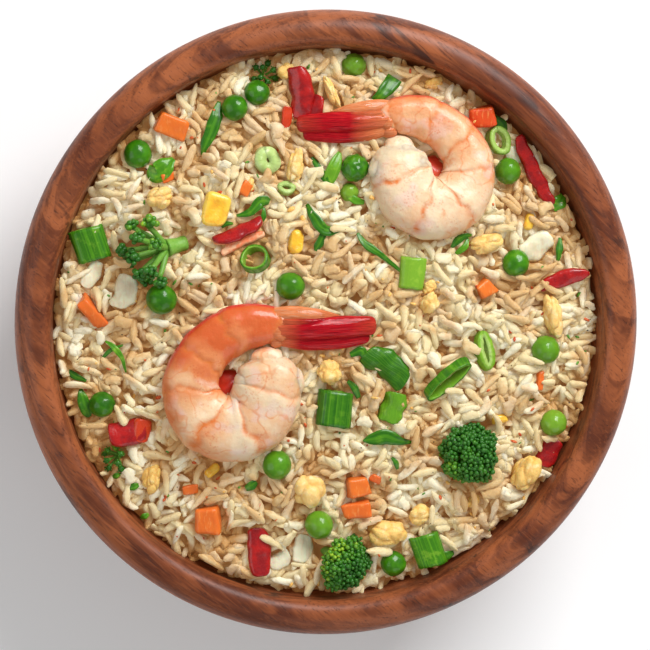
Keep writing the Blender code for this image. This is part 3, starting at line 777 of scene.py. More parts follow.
class BowlSettings(bpy.types.PropertyGroup):
    light: tint("Light wood", "Colour of the early wood", 0.36, 0.105, 0.036)
    middle: tint("Middle wood", "Colour of most of the wood", 0.165, 0.040, 0.0135)
    dark: tint("Dark wood", "Colour of the late wood", 0.085, 0.020, 0.0085)
    streak: tint("Streaks", "Colour of the mineral streaks and pores", 0.030, 0.012, 0.009)
    steps: IntProperty(name="Steps round", description="Faces round the turned bowl", default=240, min=48,
        max=480)


class RiceSettings(bpy.types.PropertyGroup):
    grains: IntProperty(name="Grains", description="How many loose grains are laid", default=6000, min=500,
        max=8000)
    bed_depth: span("Bed depth", "How far the packed rice lies under the grains' tops", 0.0031, 0.002, 0.01)
    clumps: span("Clumps", "How far clumps of rice stand up or sink", 0.0024, 0.0, 0.004)
    pale: tint("Pale", "Colour of the palest grains", 0.77, 0.71, 0.53)
    cream: tint("Cream", "Colour of the creamier grains", 0.72, 0.60, 0.35)
    clear: tint("Clear ends", "Colour of a grain's glassy ends", 0.58, 0.45, 0.23)
    # The oil colour also stands as painted shade on low grains.
    oiled: tint("Oiled", "Colour of grains that took up oil", 0.53, 0.30, 0.11)
    browned: tint("Browned", "Colour of fried spots", 0.47, 0.22, 0.08)
    # Painted shade: the colour deep between grains.
    gap: tint("Gaps", "Colour deep between grains", 0.42, 0.18, 0.048)


class ShrimpSettings(bpy.types.PropertyGroup):
    milk: tint("Milk", "Colour of the white flesh", 0.82, 0.64, 0.43)
    blush: tint("Blush", "Colour of the faintly pink flesh", 0.78, 0.44, 0.23)
    peach: tint("Peach", "Colour of the pink flesh", 0.74, 0.26, 0.095)
    orange: tint("Orange", "Colour near the tail", 0.66, 0.125, 0.028)
    lilac: tint("Lilac", "Cool tint of the thick flesh", 0.80, 0.60, 0.62)
    vein: tint("Vein", "Colour of the lines between segments", 0.72, 0.19, 0.035)
    freckle: tint("Freckle", "Colour of the fine dots", 0.66, 0.16, 0.05)
    red: tint("Red", "Colour of the shell's edge", 0.62, 0.012, 0.014)
    crimson: tint("Crimson", "Colour of the tail fan", 0.52, 0.000, 0.009)
    deep: tint("Deep crimson", "Colour of the tail's darkest streaks", 0.20, 0.000, 0.005)
    amber: tint("Amber", "Colour of the tail's light places", 0.84, 0.25, 0.085)


class ToppingSettings(bpy.types.PropertyGroup):
    pea: tint("Pea", "Colour of a pea", 0.064, 0.26, 0.004)
    pea_dark: tint("Dark pea", "Colour of a darker pea", 0.020, 0.12, 0.003)
    pea_light: tint("Light pea", "Colour of a lighter pea", 0.22, 0.40, 0.030)
    floret: tint("Floret", "Colour of the broccoli's buds", 0.100, 0.33, 0.010)
    floret_dark: tint("Dark floret", "Colour of the crown's middle", 0.020, 0.14, 0.005)
    floret_light: tint("Light floret", "Colour of the crown's edge", 0.34, 0.52, 0.018)
    stalk: tint("Stalk", "Colour of the broccoli's stalks", 0.20, 0.42, 0.060)
    egg: tint("Egg", "Colour of the scrambled egg", 0.95, 0.60, 0.17)
    egg_white: tint("Egg white", "Colour of its paler curds", 0.97, 0.79, 0.42)
    yolk: tint("Yolk", "Colour of its yellowest places", 0.90, 0.50, 0.08)
    # Real browning, and painted shade in the curds' folds.
    egg_browning_and_fold_shade: tint("Fried egg", "Colour of its browned folds", 0.62, 0.26, 0.05)
    corn: tint("Corn", "Colour of sweetcorn", 0.93, 0.52, 0.03)
    corn_light: tint("Light corn", "Colour of a kernel's rim", 0.95, 0.66, 0.10)
    corn_dark: tint("Dark corn", "Colour of a kernel's shade", 0.80, 0.33, 0.02)
    carrot: tint("Carrot", "Colour of carrot", 0.80, 0.19, 0.022)
    carrot_red: tint("Red carrot", "Colour of the reddest dice", 0.68, 0.070, 0.012)
    carrot_light: tint("Light carrot", "Colour of carrot's threads", 0.86, 0.33, 0.09)
    pepper: tint("Pepper", "Colour of the pepper's skin", 0.48, 0.010, 0.008)
    pepper_dark: tint("Dark pepper", "Colour of the skin's shade", 0.27, 0.006, 0.008)
    pepper_flesh: tint("Pepper flesh", "Colour of the cut wall", 0.84, 0.24, 0.10)
    pepper_pale: tint("Pale flesh", "Colour of the wall's palest part", 0.88, 0.52, 0.30)
    leaf: tint("Leaf", "Colour of spring onion leaf", 0.085, 0.30, 0.007)
    leaf_dark: tint("Dark leaf", "Colour of the darkest leaf", 0.018, 0.12, 0.004)
    leaf_light: tint("Light leaf", "Colour of leaf near the stem", 0.26, 0.47, 0.035)
    leaf_white: tint("White leaf", "Colour of the stem", 0.66, 0.76, 0.36)
    onion: tint("Onion", "Colour of cooked onion", 0.84, 0.80, 0.58)
    onion_pink: tint("Pink onion", "Colour of onion in shade", 0.74, 0.62, 0.42)
    oiled: tint("Oil", "Colour of oil on the onion", 0.72, 0.47, 0.25)


class StageSettings(bpy.types.PropertyGroup):
    floor: tint("Floor", "Colour of the floor", 0.95, 0.95, 0.95)
    key: FloatProperty(name="Key light", description="Strength of the key light", default=10.0, min=0,
        unit="POWER")
    sky: FloatProperty(name="Sky", description="Strength of the even light from all round", default=0.30,
        min=0)


# ---- bowl ----------------------------------------------------------------------------------------


def build_bowl(settings):
    """The turned bowl: inner wall, broad rolled rim and outer wall, with a lathe's slight waver."""

    def rim(rounding, degrees):
        turn = math.radians(degrees)
        return RIM_CREST_RADIUS + rounding * math.cos(turn), RIM_TOP - rounding * (1 - math.sin(turn))

    outline = [(r, FLOOR_HEIGHT + 0.1) for r in (0.5, 12.0)]
    outline += [(MOUTH_RADIUS * s, wall_height(MOUTH_RADIUS * s)) for s in np.sin(np.linspace(0.3, 1.45, 18))]
    outline += [rim(RIM_INNER_ROUND, degrees) for degrees in np.linspace(180, 96, 9)]
    outline += [rim(RIM_OUTER_ROUND, degrees) for degrees in np.linspace(90, 0, 12)]
    outline += [(WIDEST_RADIUS * s,
        outer_height(WIDEST_RADIUS * s)) for s in np.sin(np.linspace(1.44, 0.50, 22))]
    outline += [(BASE_RADIUS - 0.6, 0.25), (BASE_RADIUS - 1.6, 0.0), (BASE_RADIUS - 5.0, 0.0)]
    outline += [(BASE_RADIUS - 6.2, 0.7), (18.0, 0.8), (0.5, 0.8)]
    pile = Pile()
    rings = []
    turns = np.linspace(0, 2 * math.pi, settings.steps, endpoint=False)
    for radius, z in outline:
        ring = []
        for turn in turns:
            x, y = math.cos(turn), math.sin(turn)
            waver = 1 + 0.0011 * noise.noise(Vector((2.2 * x, 2.2 * y, z / 40)))
            ring.append((radius * x * waver, radius * y * waver, z))
        rings.append(ring)
    points, faces = loft(rings)
    pile.add(points, faces)
    return pile.piece("wooden_bowl", wood_look(settings), "wood", ("bowl",))


# ---- toppings ------------------------------------------------------------------------------------

# Each row: tone from dark to light, and how wrinkled.
PEA_LOOKS = {
    "pea_05": (0.66, 0.035),
    "pea_06": (0.35, 0.16),
    "pea_07": (0.95, 0.05),
    "pea_08": (0.72, 0.04),
    "pea_09": (0.60, 0.04),
    "pea_10": (0.78, 0.05),
    "pea_11": (0.92, 0.05),
    "pea_12": (0.72, 0.04),
    "pea_14": (0.62, 0.05),
    "pea_13": (0.80, 0.04),
    "pea_15": (0.10, 0.05),
    "pea_16": (0.85, 0.09),
}


def build_peas(settings):
    pile = Pile("tone")
    points, faces = ball(4)
    nodes = nodes_named("pea")
    for i, node in enumerate(nodes):
        tone, wrinkle = PEA_LOOKS.get(node, (0.42 + 0.05 * (i % 3), 0.035))
        shape = bumped(points, 1.0, 0.05, 7.0 + i)
        shape = bumped(shape, 3.2, wrinkle, 2.0 + 3 * i)
        # A shallow dent where the pea sat in its pod.
        dent = np.array((math.sin(2.1 * i), math.cos(1.3 * i), 0.55))
        dent /= np.linalg.norm(dent)
        away = np.linalg.norm(shape - dent, axis=1)
        shape = shape * (1 - 0.05 * np.exp(-((away / 0.30) ** 2)))[:, None]
        size = sides(node)
        half = (size.x + size.y + size.z) / 6
        pile.add(shape * half * (1.02, 0.99, 0.97), faces, on_node(node, 40 * i), tone=tone)
    return pile.piece("green_peas", pea_look(settings), "pea", nodes)


# Each row: heading, tone from yellow to white, and lump size as a share.
EGG_LOOKS = {
    "egg_01": (20, 0.35, 0.9),
    "egg_02": (40, 0.40, 0.8),
    "egg_03": (65, 0.10, 0.8),
    "egg_04": (-80, 0.40, 0.9),
    "egg_05": (15, 0.40, 0.9),
    "egg_06": (-5, 0.10, 0.9),
    "egg_07": (0, 0.25, 1.0),
    "egg_08": (70, 0.45, 1.2),
    "egg_09": (-35, 0.15, 1.1),
    "egg_10": (-65, 0.35, 0.9),
    "egg_11": (80, -0.25, 1.0),
}
# Small curds with no CAD node. Each row: x, y, length, width, height, heading, tone.
EGG_BITS = (
    (-9.6, 44.6, 9.6, 4.6, 4.6, 78, 0.4),
    (-11.9, 70.3, 5.2, 4.4, 3.6, 30, -0.2),
    (29.5, 67.2, 5.6, 3.6, 3.0, 25, -0.1),
    (27.5, 10.5, 4.6, 3.4, 3.0, 30, 0.2),
    (-22.5, 39.0, 4.2, 3.0, 2.6, 65, 0.3),
    (40.8, -50.4, 4.4, 3.2, 3.0, 50, 0.2),
)


def curd(size, reach, seed):
    """A lumpy, folded scrap of egg. Gives its points, faces and how deep in a fold each point is."""
    points, faces = ball(5 if max(size) > 7 else 4)
    shift = Vector((seed, 0.37 * seed, -0.71 * seed))
    out, fold = [], []
    for point in points:
        spot = Vector(point) * 0.95 * reach + shift
        near = noise.voronoi(spot + 0.35 * noise.noise_vector(spot * 1.3))[0]
        valley = max(0.0, 1 - 3.0 * (near[1] - near[0])) ** 1.5
        swell = 0.30 * (0.62 - near[0]) - 0.12 * valley + 0.34 * noise.noise(spot * 0.7)
        swell += 0.06 * noise.noise(spot * 3.4)
        out.append(point * (1 + swell))
        fold.append(valley)
    out = np.array(out)
    out -= (out.max(axis=0) + out.min(axis=0)) / 2
    return out / np.abs(out).max(axis=0) * np.array(size) / 2, faces, np.array(fold)


def build_egg(settings):
    pile = Pile("tone", "fold")
    nodes = nodes_named("egg")
    for i, node in enumerate(nodes):
        heading, tone, reach = EGG_LOOKS[node]
        size = sides(node)
        turn = math.radians(heading)
        # The node's box, read back into the curd's own length and width.
        c, s = abs(math.cos(turn)), abs(math.sin(turn))
        if abs(c - s) < 0.25:
            long_side = wide_side = (size.x + size.y) / 2 / (c + s) * 1.1
        else:
            long_side = (size.x * c - size.y * s) / (c * c - s * s)
            wide_side = (size.y * c - size.x * s) / (c * c - s * s)
        points, faces, fold = curd((long_side * 1.04, wide_side * 1.04, size.z * 1.12), reach, 3.3 + 5.1 * i)
        pile.add(points, faces, on_node(node, heading), tone=tone, fold=fold)
    for i, (x, y, long_side, wide_side, height, heading, tone) in enumerate(EGG_BITS):
        points, faces, fold = curd((long_side, wide_side, height), 1.0, 70 + 3.7 * i)
        pile.add(points, faces, on_rice(x, y, 0.15 * height, heading), tone=tone, fold=fold)
    return pile.piece("egg_pieces", egg_look(settings), "egg", nodes)


CARROT_LOOKS = {
    "carrot_01": (-22, 0.15),
    "carrot_02": (4, 0.25),
    "carrot_03": (12, 0.15),
    "carrot_04": (6, 0.35),
    "carrot_05": (-52, 0.35),
    "carrot_06": (8, 0.95),
}
# Small dice with no CAD node. Each row: x, y, length, width, height, heading, tone, lift.
CARROT_BITS = (
    (43.5, 9.8, 4.4, 4.6, 3.6, 35, 0.15, 0.2),
    (59.7, -16.5, 5.0, 2.0, 2.0, 84, 0.3, 0.3),
    (-23.9, 37.9, 4.2, 3.0, 3.0, 60, 0.2, 0.0),
    (-45.2, 41.1, 3.4, 2.6, 2.4, 15, 0.2, 0.0),
    (-39.3, -45.8, 4.0, 2.4, 2.4, 10, 0.3, 0.2),
    (12.6, -43.2, 3.0, 2.0, 2.0, -30, 0.4, 0.0),
    (52.0, 33.0, 3.0, 2.4, 2.0, 50, 0.5, -0.2),
)


def build_carrots(settings):
    pile = Pile("tone")
    nodes = nodes_named("carrot")
    for i, node in enumerate(nodes):
        heading, tone = CARROT_LOOKS[node]
        size = sides(node)
        turn = math.radians(heading)
        c, s = abs(math.cos(turn)), abs(math.sin(turn))
        long_side = max(3.0, (size.x * c - size.y * s) / (c * c - s * s))
        wide_side = max(3.0, (size.y * c - size.x * s) / (c * c - s * s))
        points, faces = block((long_side, wide_side, size.z * 0.94), 0.75, 9, 11 + i)
        pile.add(points, faces, on_node(node, heading, lean=7 * (-1) ** i, roll=5), tone=tone)
    for i, (x, y, long_side, wide_side, height, heading, tone, lift) in enumerate(CARROT_BITS):
        points, faces = block((long_side, wide_side, height), 0.5, 7, 31 + i)
        pile.add(points, faces, on_rice(x, y, lift + 0.1 * height, heading, lean=9, roll=8), tone=tone)
    return pile.piece("carrot_dice", carrot_look(settings), "carrot", nodes)


def build_corn(settings):
    pile = Pile("rim")
    nodes = nodes_named("corn")
    for i, (node, heading) in enumerate(zip(nodes, (75, 80))):
        size = sides(node)
        points, faces = block((size.y * 1.02, size.x * 1.04, size.z * 1.05), 1.9, 11, 51 + i, skew=0.06)
        half = np.abs(points).max(axis=0)
        share = points / half
        # Narrower to the tip, with a shallow pressed face.
        points[:, 1] *= 1 - 0.18 * np.clip(-share[:, 0], 0, 1) ** 2
        edge = np.maximum(np.abs(share[:, 0]), np.abs(share[:, 1]))
        dent = np.exp(-((edge / 0.62) ** 4)) * (share[:, 2] > 0)
        points[:, 2] -= 0.7 * dent
        rim = np.clip((edge - 0.55) / 0.35, 0, 1)
        pile.add(points, faces, on_node(node, heading, roll=6, lift=0.2), rim=rim)
    for i, (x, y, heading) in enumerate(((56.5, 28.5, 75), (-33.0, -40.5, 40), (48.0, -27.0, 10))):
        points, faces = block((4.6, 2.6, 2.4), 1.0, 8, 61 + i)
        pile.add(points, faces, on_rice(x, y, 0.2, heading, lean=12), rim=0.5)
    return pile.piece("corn_kernels", corn_look(settings), "corn", nodes)


# Each row: length, width, thickness, heading, bend, curl, taper, lean, roll, orange share, lift.
PEPPER_LOOKS = {
    "pepper_01": (14.4, 7.0, 2.4, 97, 30, 75, 0.2, 0, -22, 0.0, 0.4),
    "pepper_02": (14.8, 4.2, 2.3, 24, 30, 40, 0.35, 0, -38, 0.0, 0.5),
    "pepper_03": (21.5, 4.4, 2.4, -63, 16, 30, 0.3, 0, 10, 0.45, 0.4),
    "pepper_04": (14.6, 4.6, 2.2, 17, -16, 40, 0.6, 0, 8, 0.1, 0.3),
    "pepper_05": (13.6, 6.6, 2.5, 95, 12, 35, 0.15, 0, 10, 0.0, 0.4),
    "pepper_06": (8.4, 6.0, 2.4, 60, 10, 25, 0.1, 0, 0, 0.1, 0.0),
    "pepper_07": (10.2, 7.4, 3.2, 10, 12, 70, 0.1, 0, -18, 0.1, 0.6),
}


def build_peppers(settings):
    pile = Pile("skin", "tone")
    nodes = nodes_named("pepper")
    for i, node in enumerate(nodes):
        long_side, width, thickness, heading, bend, curl, taper, lean, roll, tone, lift = PEPPER_LOOKS[node]
        points, faces, skin = slab(long_side, width, thickness, bend, curl, taper, seed=i, ragged=0.5)
        points = shaken(points, 3.5, 0.35, 5 + i)
        pile.add(points, faces, on_node(node, heading, lean, roll, lift), skin=skin, tone=tone)
    # Curled second lobe beside the first strip, and the cut wall on the wedge.
    extras = (
        (-4.9, 58.6, 0.9, 11.0, 4.4, 2.0, 62, 40, 60, -30, 0.0),
        (-52.6, -29.0, 0.4, 6.4, 5.6, 3.0, 80, 10, 30, 25, 1.0),
        (-12.0, 57.6, -0.2, 6.0, 3.0, 1.6, 84, 20, 20, 10, 1.0),
        (-24.6, 23.0, 0.5, 13.4, 2.8, 2.0, 24, 30, 10, 168, 0.0),
    )
    for i, (x, y, lift, long_side, width, thickness, heading, bend, curl, roll, tone) in enumerate(extras):
        points, faces, skin = slab(long_side, width, thickness, bend, curl, 0.3, seed=20 + i)
        pile.add(shaken(points, 3.0, 0.3, 15 + i), faces, on_rice(x, y, lift, heading, 0, roll), skin=skin,
            tone=tone)
    return pile.piece("pepper_strips", pepper_look(settings), "pepper", nodes)


# Each row: length, width, height, wall, heading, pitch, tone, squash, slant.
TUBE_LOOKS = {
    "scallion_tube_01": (9.2, 9.6, 5.0, 0.9, -72, 0, 0.12, 0.10, 0.05),
    "scallion_tube_02": (9.8, 10.0, 6.8, 0.9, 84, 0, 0.02, 0.05, 0.05),
    "scallion_tube_03": (2.9, 15.8, 5.4, 0.9, -50, 50, 0.06, 0.0, 0.0),
    "scallion_tube_04": (2.4, 11.6, 5.2, 2.0, 12, 66, 0.62, 0.0, 0.0),
    "scallion_tube_05": (8.8, 7.2, 4.6, 1.0, 84, 0, 0.62, 0.08, 0.0),
    "scallion_tube_06": (3.4, 8.0, 7.4, 0.8, 130, 58, 0.15, 0.0, 0.1),
    "scallion_tube_07": (9.2, 8.6, 6.0, 0.9, 110, 0, 0.20, 0.06, 0.1),
}
# Each row: length, width, heading, bend, curl, taper, tone, lean, roll, lift.
LEAF_LOOKS = {
    "scallion_leaf_01": (14.8, 8.6, -38, -50, 80, 0.25, 0.0, 0, 14, 0.4),
    "scallion_leaf_02": (8.8, 8.0, 75, 25, 90, 0.15, 0.42, 0, -8, 0.4),
}
# Shreds with no CAD node. Each row: tone, widths along it, twist, and points x, y, lift.
SHREDS = (
    (0.10, (0.8, 2.2, 1.8, 0.6), 50,
        ((7.2, 25.7, 0.4), (10.0, 22.0, 1.5), (14.0, 19.4, 1.4), (19.9, 14.4, 0.4))),
    (0.06, (1.0, 3.0, 3.0, 1.2), -50,
        ((-6.8, 33.6, 0.3), (-4.6, 29.4, 1.6), (-1.6, 26.4, 1.6), (3.2, 27.0, 0.4))),
    (0.00, (1.6, 2.2, 0.8), 20, ((-1.8, 26.6, 1.5), (-3.6, 22.6, 0.6), (-4.6, 20.6, -0.2))),
    (0.02, (0.8, 2.0, 1.6, 0.7), 20,
        ((-5.4, 46.8, 0.4), (-3.4, 43.4, 1.5), (-1.0, 39.6, 0.6), (-0.2, 38.2, 0.0))),
    (0.45, (1.0, 3.8, 3.6, 1.6), 20,
        ((2.6, 48.0, 0.6), (1.2, 44.6, 1.8), (-0.2, 41.2, 1.4), (-1.0, 38.2, 0.2))),
    (0.05, (4.4, 4.2, 3.2, 2.2), -25,
        ((18.6, 68.6, 0.2), (16.6, 66.2, 1.3), (14.0, 63.6, 1.2), (12.4, 62.2, 0.4))),
    (0.04, (0.8, 3.4, 3.6, 2.4, 1.0), 25,
        ((-30.6, 62.0, 0.2), (-31.4, 58.2, 1.3), (-33.2, 53.6, 1.5), (-34.8, 49.8, 0.9), (-35.4, 47.0, 0.0))),
    (0.30, (2.2, 5.8, 5.2, 1.6), -60,
        ((-50.6, 43.6, 0.4), (-48.4, 42.2, 1.6), (-45.8, 44.2, 1.7), (-43.4, 46.2, 0.6))),
    (0.08, (1.6, 3.2, 2.2, 0.8), 40,
        ((-17.0, 34.2, 0.2), (-19.6, 34.4, 1.4), (-22.4, 31.6, 1.4), (-26.4, 30.4, 0.4))),
    (0.03, (0.6, 3.6, 4.2, 2.6, 0.6), 12,
        ((8.8, -32.4, 0.3), (12.0, -31.8, 1.3), (15.4, -31.2, 1.6), (19.2, -32.6, 1.2), (23.2, -33.0, 0.3))),
    (0.30, (0.6, 1.6, 1.2, 0.5), 60,
        ((-62.4, -4.4, 0.4), (-60.0, -6.0, 1.2), (-57.8, -9.4, 1.0), (-57.0, -12.8, 0.2))),
    (0.10, (0.6, 1.2, 0.6), 30, ((-63.4, -9.0, 0.2), (-61.0, -6.6, 1.0), (-57.6, -5.2, 0.3))),
    (0.00, (0.6, 1.8, 0.8), 30, ((-73.6, -12.0, 0.4), (-71.0, -13.8, 1.0), (-67.8, -15.4, 0.2))),
    (0.10, (0.8, 2.2, 1.6, 0.6), 30,
        ((33.8, 21.4, 0.2), (35.6, 23.4, 1.0), (37.8, 24.6, 1.0), (40.0, 25.0, 0.2))),
    (0.35, (0.8, 2.0, 0.8), 0, ((35.0, 19.6, 0.0), (37.4, 21.4, 0.9), (38.4, 24.0, 0.2))),
    (0.02, (1.2, 2.6, 1.4), 20, ((-23.8, -45.8, 0.2), (-22.2, -44.8, 1.0), (-20.8, -43.8, 0.2))),
    (0.10, (1.0, 3.2, 3.0, 1.0), 20,
        ((-69.4, -17.6, 0.2), (-68.8, -20.4, 0.8), (-67.6, -24.0, 0.2), (-66.8, -25.4, -0.4))),
    (0.04, (1.4, 3.0, 1.6), -20, ((46.6, 57.8, 0.2), (48.6, 55.8, 0.8), (50.0, 53.8, 0.1))),
    (0.20, (1.0, 2.4, 1.2), 10, ((31.4, -66.4, 0.1), (33.4, -66.0, 0.8), (35.6, -65.2, 0.0))),
    (0.05, (0.8, 2.0, 1.0), 10, ((64.6, 17.4, 0.2), (65.2, 20.4, 0.8), (65.6, 23.8, 0.1))),
    (0.30, (1.6, 4.0, 2.0), 10, ((63.6, 31.6, 0.0), (65.2, 33.6, 0.6), (66.8, 35.6, 0.0))),
    (0.25, (0.8, 1.8, 0.8), 0, ((-60.6, -42.4, 0.1), (-59.5, -42.0, 0.6), (-58.4, -41.6, 0.0))),
    (0.25, (1.0, 2.2, 1.0), 0, ((-56.6, -45.6, 0.1), (-54.9, -45.0, 0.7), (-53.4, -44.6, 0.0))),
    (0.30, (0.8, 2.0, 0.9), 0, ((-52.8, -54.2, 0.1), (-51.7, -53.5, 0.7), (-50.6, -52.9, 0.0))),
    (0.12, (0.6, 1.4, 0.7), 0, ((-19.2, 28.6, 0.3), (-18.8, 30.4, 0.9), (-18.6, 32.6, 0.2))),
    (0.10, (0.6, 1.6, 0.7), 0, ((17.0, -37.4, 0.2), (18.2, -38.8, 0.9), (18.8, -40.6, 0.1))),
    (0.08, (0.5, 1.3, 0.6), 0, ((-30.4, 27.2, 0.2), (-28.8, 28.2, 0.8), (-27.2, 28.4, 0.2))),
    (0.35, (0.8, 2.4, 1.2), 10, ((3.8, 37.0, 0.2), (6.2, 35.0, 0.8), (9.2, 34.2, 0.1))),
    (0.70, (1.0, 2.6, 1.2), 10, ((-2.8, -3.2, 0.2), (0.2, -1.6, 0.8), (2.4, -2.4, 0.1))),
    (0.04, (1.4, 2.8, 1.4), 10, ((5.2, -8.2, 0.4), (8.0, -7.2, 1.2), (9.6, -9.4, 0.4))),
    (0.02, (1.0, 2.2, 1.2), 10, ((4.4, -15.6, 0.2), (6.4, -17.6, 0.8), (7.6, -20.4, 0.1))),
)
# Pale slices and rings with no CAD node. Each row: x, y, length, width, height, wall, heading, pitch,
# tone, lift.
SLICES = (
    (-17.6, 45.7, 2.2, 7.8, 7.2, 3.2, 20, 80, 0.95, 0.4),
    (47.8, 51.2, 3.0, 8.2, 6.2, 1.5, 20, 74, 0.55, 0.6),
    (-12.4, 38.0, 2.0, 5.0, 3.6, 1.3, 80, 70, 0.85, -0.2),
)


def build_scallions(settings):
    pile = Pile("skin", "lane", "tone")
    nodes = nodes_named("scallion_tube", "scallion_leaf")
    for i, (node, row) in enumerate(TUBE_LOOKS.items()):
        long_side, width, height, wall, heading, pitch, tone, squash, slant = row
        points, faces, skin, lane = tube(long_side, width, height, wall, 3 + i, squash=squash, slant=slant)
        pile.add(points, faces, on_node(node, heading, lean=-pitch, lift=0.3), skin=skin, lane=lane,
            tone=tone)
    for i, (x, y, long_side, width, height, wall, heading, pitch, tone, lift) in enumerate(SLICES):
        points, faces, skin, lane = tube(long_side, width, height, wall, 13 + i)
        pile.add(points, faces, on_rice(x, y, lift, heading, lean=-pitch), skin=skin * 0.6, lane=lane,
            tone=tone)
    for i, (node, row) in enumerate(LEAF_LOOKS.items()):
        long_side, width, heading, bend, curl, taper, tone, lean, roll, lift = row
        points, faces, skin = slab(long_side, width, 0.9, bend, curl, taper, ragged=0.8, seed=40 + i)
        lane = points[:, 1] * 0.5
        pile.add(shaken(points, 3.0, 0.5, i), faces, on_node(node, heading, lean, roll, lift), skin=skin,
            lane=lane, tone=tone)
    for i, (tone, widths, twist, path) in enumerate(SHREDS):
        path = [(x, y, dome_height(x, y) + 0.6 + lift) for x, y, lift in path]
        points, faces, top = ribbon(path, widths, twist=twist)
        lane = np.linspace(0, 1, 10)
        lane = np.concatenate([np.tile(np.concatenate([lane[:5], lane[4::-1]]), len(points) // 10),
            [0.5, 0.5]])
        pile.add(shaken(points, 2.5, 0.3, 60 + i), faces, skin=0.4 + 0.6 * top, lane=lane, tone=tone)
    return pile.piece("scallion_cuts", scallion_look(settings), "scallion", nodes)


# Each row: crown diameter, stem length, heading, lean, clusters, buds in each, how far round the crown
# they go in degrees, tone, cluster size as a share of the crown, and which way the paler side faces in
# degrees.
FLORETS = {
    "broccoli_01": (17.0, 7.0, 14, -70, 13, 9, 108, 0.30, 0.20, 60),
    "broccoli_02": (13.4, 6.0, 200, 12, 30, 17, 100, 0.16, 0.30, 228),
    "broccoli_03": (12.8, 7.0, -30, 46, 26, 15, 104, 0.42, 0.32, 135),
    "broccoli_04": (6.4, 3.0, 100, 20, 8, 9, 100, 0.10, 0.34, 0),
    "broccoli_05": (7.0, 3.4, 200, 40, 8, 9, 100, 0.40, 0.34, 90),
}
GOLDEN = math.pi * (3 - math.sqrt(5))


def on_cap(count, reach, draw, jitter):
    """Even directions on a cap around +Z, out to an angle in degrees."""
    edge = math.cos(math.radians(reach))
    spots = []
    for i in range(count):
        z = 1 - (1 - edge) * (i + 0.5) / count + draw.uniform(-jitter, jitter)
        z = max(-1.0, min(1.0, z))
        turn = GOLDEN * i + draw.uniform(-jitter, jitter) * 3
        flat = math.sqrt(max(0.0, 1 - z * z))
        spots.append(Vector((flat * math.cos(turn), flat * math.sin(turn), z)))
    return spots


def add_floret(pile, matrix, crown, stem, clusters, buds, reach, tone, cluster_share, pale_side, seed):
    """A stalk that divides into stems, each ending in a tight dome of buds."""
    draw = random.Random(seed)
    radius = crown / 2
    foot = Vector((0, 0, -stem - 0.35 * crown))
    fork = Vector((0, 0, -0.42 * crown))
    points, faces = rod([foot, foot.lerp(fork, 0.5), fork], [0.13 * crown, 0.12 * crown, 0.16 * crown], 14)
    pile.add(shaken(points, 2.0, 0.3, seed), faces, matrix, bud=0.0, tone=tone)
    level = 2 if crown > 9 else 1
    bud_points, bud_faces = ball(level)
    for way in on_cap(clusters, reach, draw, 0.05):
        stretch = 1 + draw.uniform(-0.12, 0.08)
        centre = Vector((way.x * radius, way.y * radius, way.z * radius * 0.72 - 0.1 * crown)) * stretch
        dome = radius * cluster_share * draw.uniform(0.85, 1.15)
        neck = centre - way * dome * 0.5
        path = [fork, fork.lerp(neck, 0.55) + way * 0.3, neck]
        points, faces = rod(path, [0.07 * crown, 0.05 * crown, 0.45 * dome], 8, 6)
        pile.add(points, faces, matrix, bud=0.25, tone=tone)
        toward = (matrix.to_3x3() @ way).dot(Vector((math.cos(pale_side), math.sin(pale_side), 0)))
        cluster_tone = tone + draw.uniform(-0.16, 0.22) + 0.18 * max(0.0, 0.6 - way.z) + 0.42 * toward
        facing = way.to_track_quat("Z", "Y").to_matrix()
        core_points, core_faces = ball(2)
        core = [centre + Vector(point) * dome * 0.80 for point in core_points]
        pile.add(core, core_faces, matrix, bud=1.0, tone=cluster_tone - 0.2)
        for k, small in enumerate(on_cap(buds, 98, draw, 0.04)):
            spot = centre + facing @ small * dome * draw.uniform(0.84, 1.10)
            size = crown / 16 * draw.uniform(0.50, 0.92) * (0.72 if crown < 9 else 1.0)
            shape = bud_points * size * (1, 1, draw.uniform(0.9, 1.2))
            bud_tone = cluster_tone + draw.uniform(-0.2, 0.2) + 0.25 * (k / buds - 0.5)
            pile.add(shape + np.array(spot), bud_faces, matrix, outward=True, bud=1.0, tone=bud_tone)


def build_broccoli(settings):
    pile = Pile("bud", "tone")
    for i, (node, row) in enumerate(FLORETS.items()):
        crown, stem, heading, lean, clusters, buds, reach, tone, share, side = row
        matrix = on_node(node, heading, lean)
        if stem > 5:
            # The node's box holds the stem too, so the crown's middle lies a little way along it.
            matrix = matrix @ Matrix.Translation((0, 0, 0.22 * crown))
        add_floret(pile, matrix, crown, stem, clusters, buds, reach, tone, share, math.radians(side), 5 + i)
    return pile.piece("broccoli_florets", broccoli_look(settings), "broccoli", tuple(FLORETS))


# Each row: x, y, length, width, heading, roll, lift.
ONION_BITS = (
    (58.7, 21.5, 10.0, 7.4, 35, 12, 0.0),
    (-57.4, 9.4, 9.6, 7.0, 70, -10, 0.0),
    (-66.0, 14.2, 8.0, 5.0, 60, 20, -0.2),
    (53.4, 47.6, 7.0, 5.4, 10, 10, -0.4),
    (-13.8, -66.2, 6.4, 5.0, 30, 0, -0.2),
    (-7.4, -63.2, 8.0, 6.0, 80, 15, 0.0),
)


def build_onion(settings):
    pile = Pile()
    for i, (x, y, long_side, width, heading, roll, lift) in enumerate(ONION_BITS):
        points, faces, _ = slab(long_side, width, 1.1, 35, 50, 0.3, ragged=0.8, seed=80 + i)
        pile.add(shaken(points, 3.0, 0.5, 80 + i), faces, on_rice(x, y, lift, heading, 0, roll))
    return pile.piece("onion_bits", onion_look(settings), "rice")


# ---- shrimp --------------------------------------------------------------------------------------

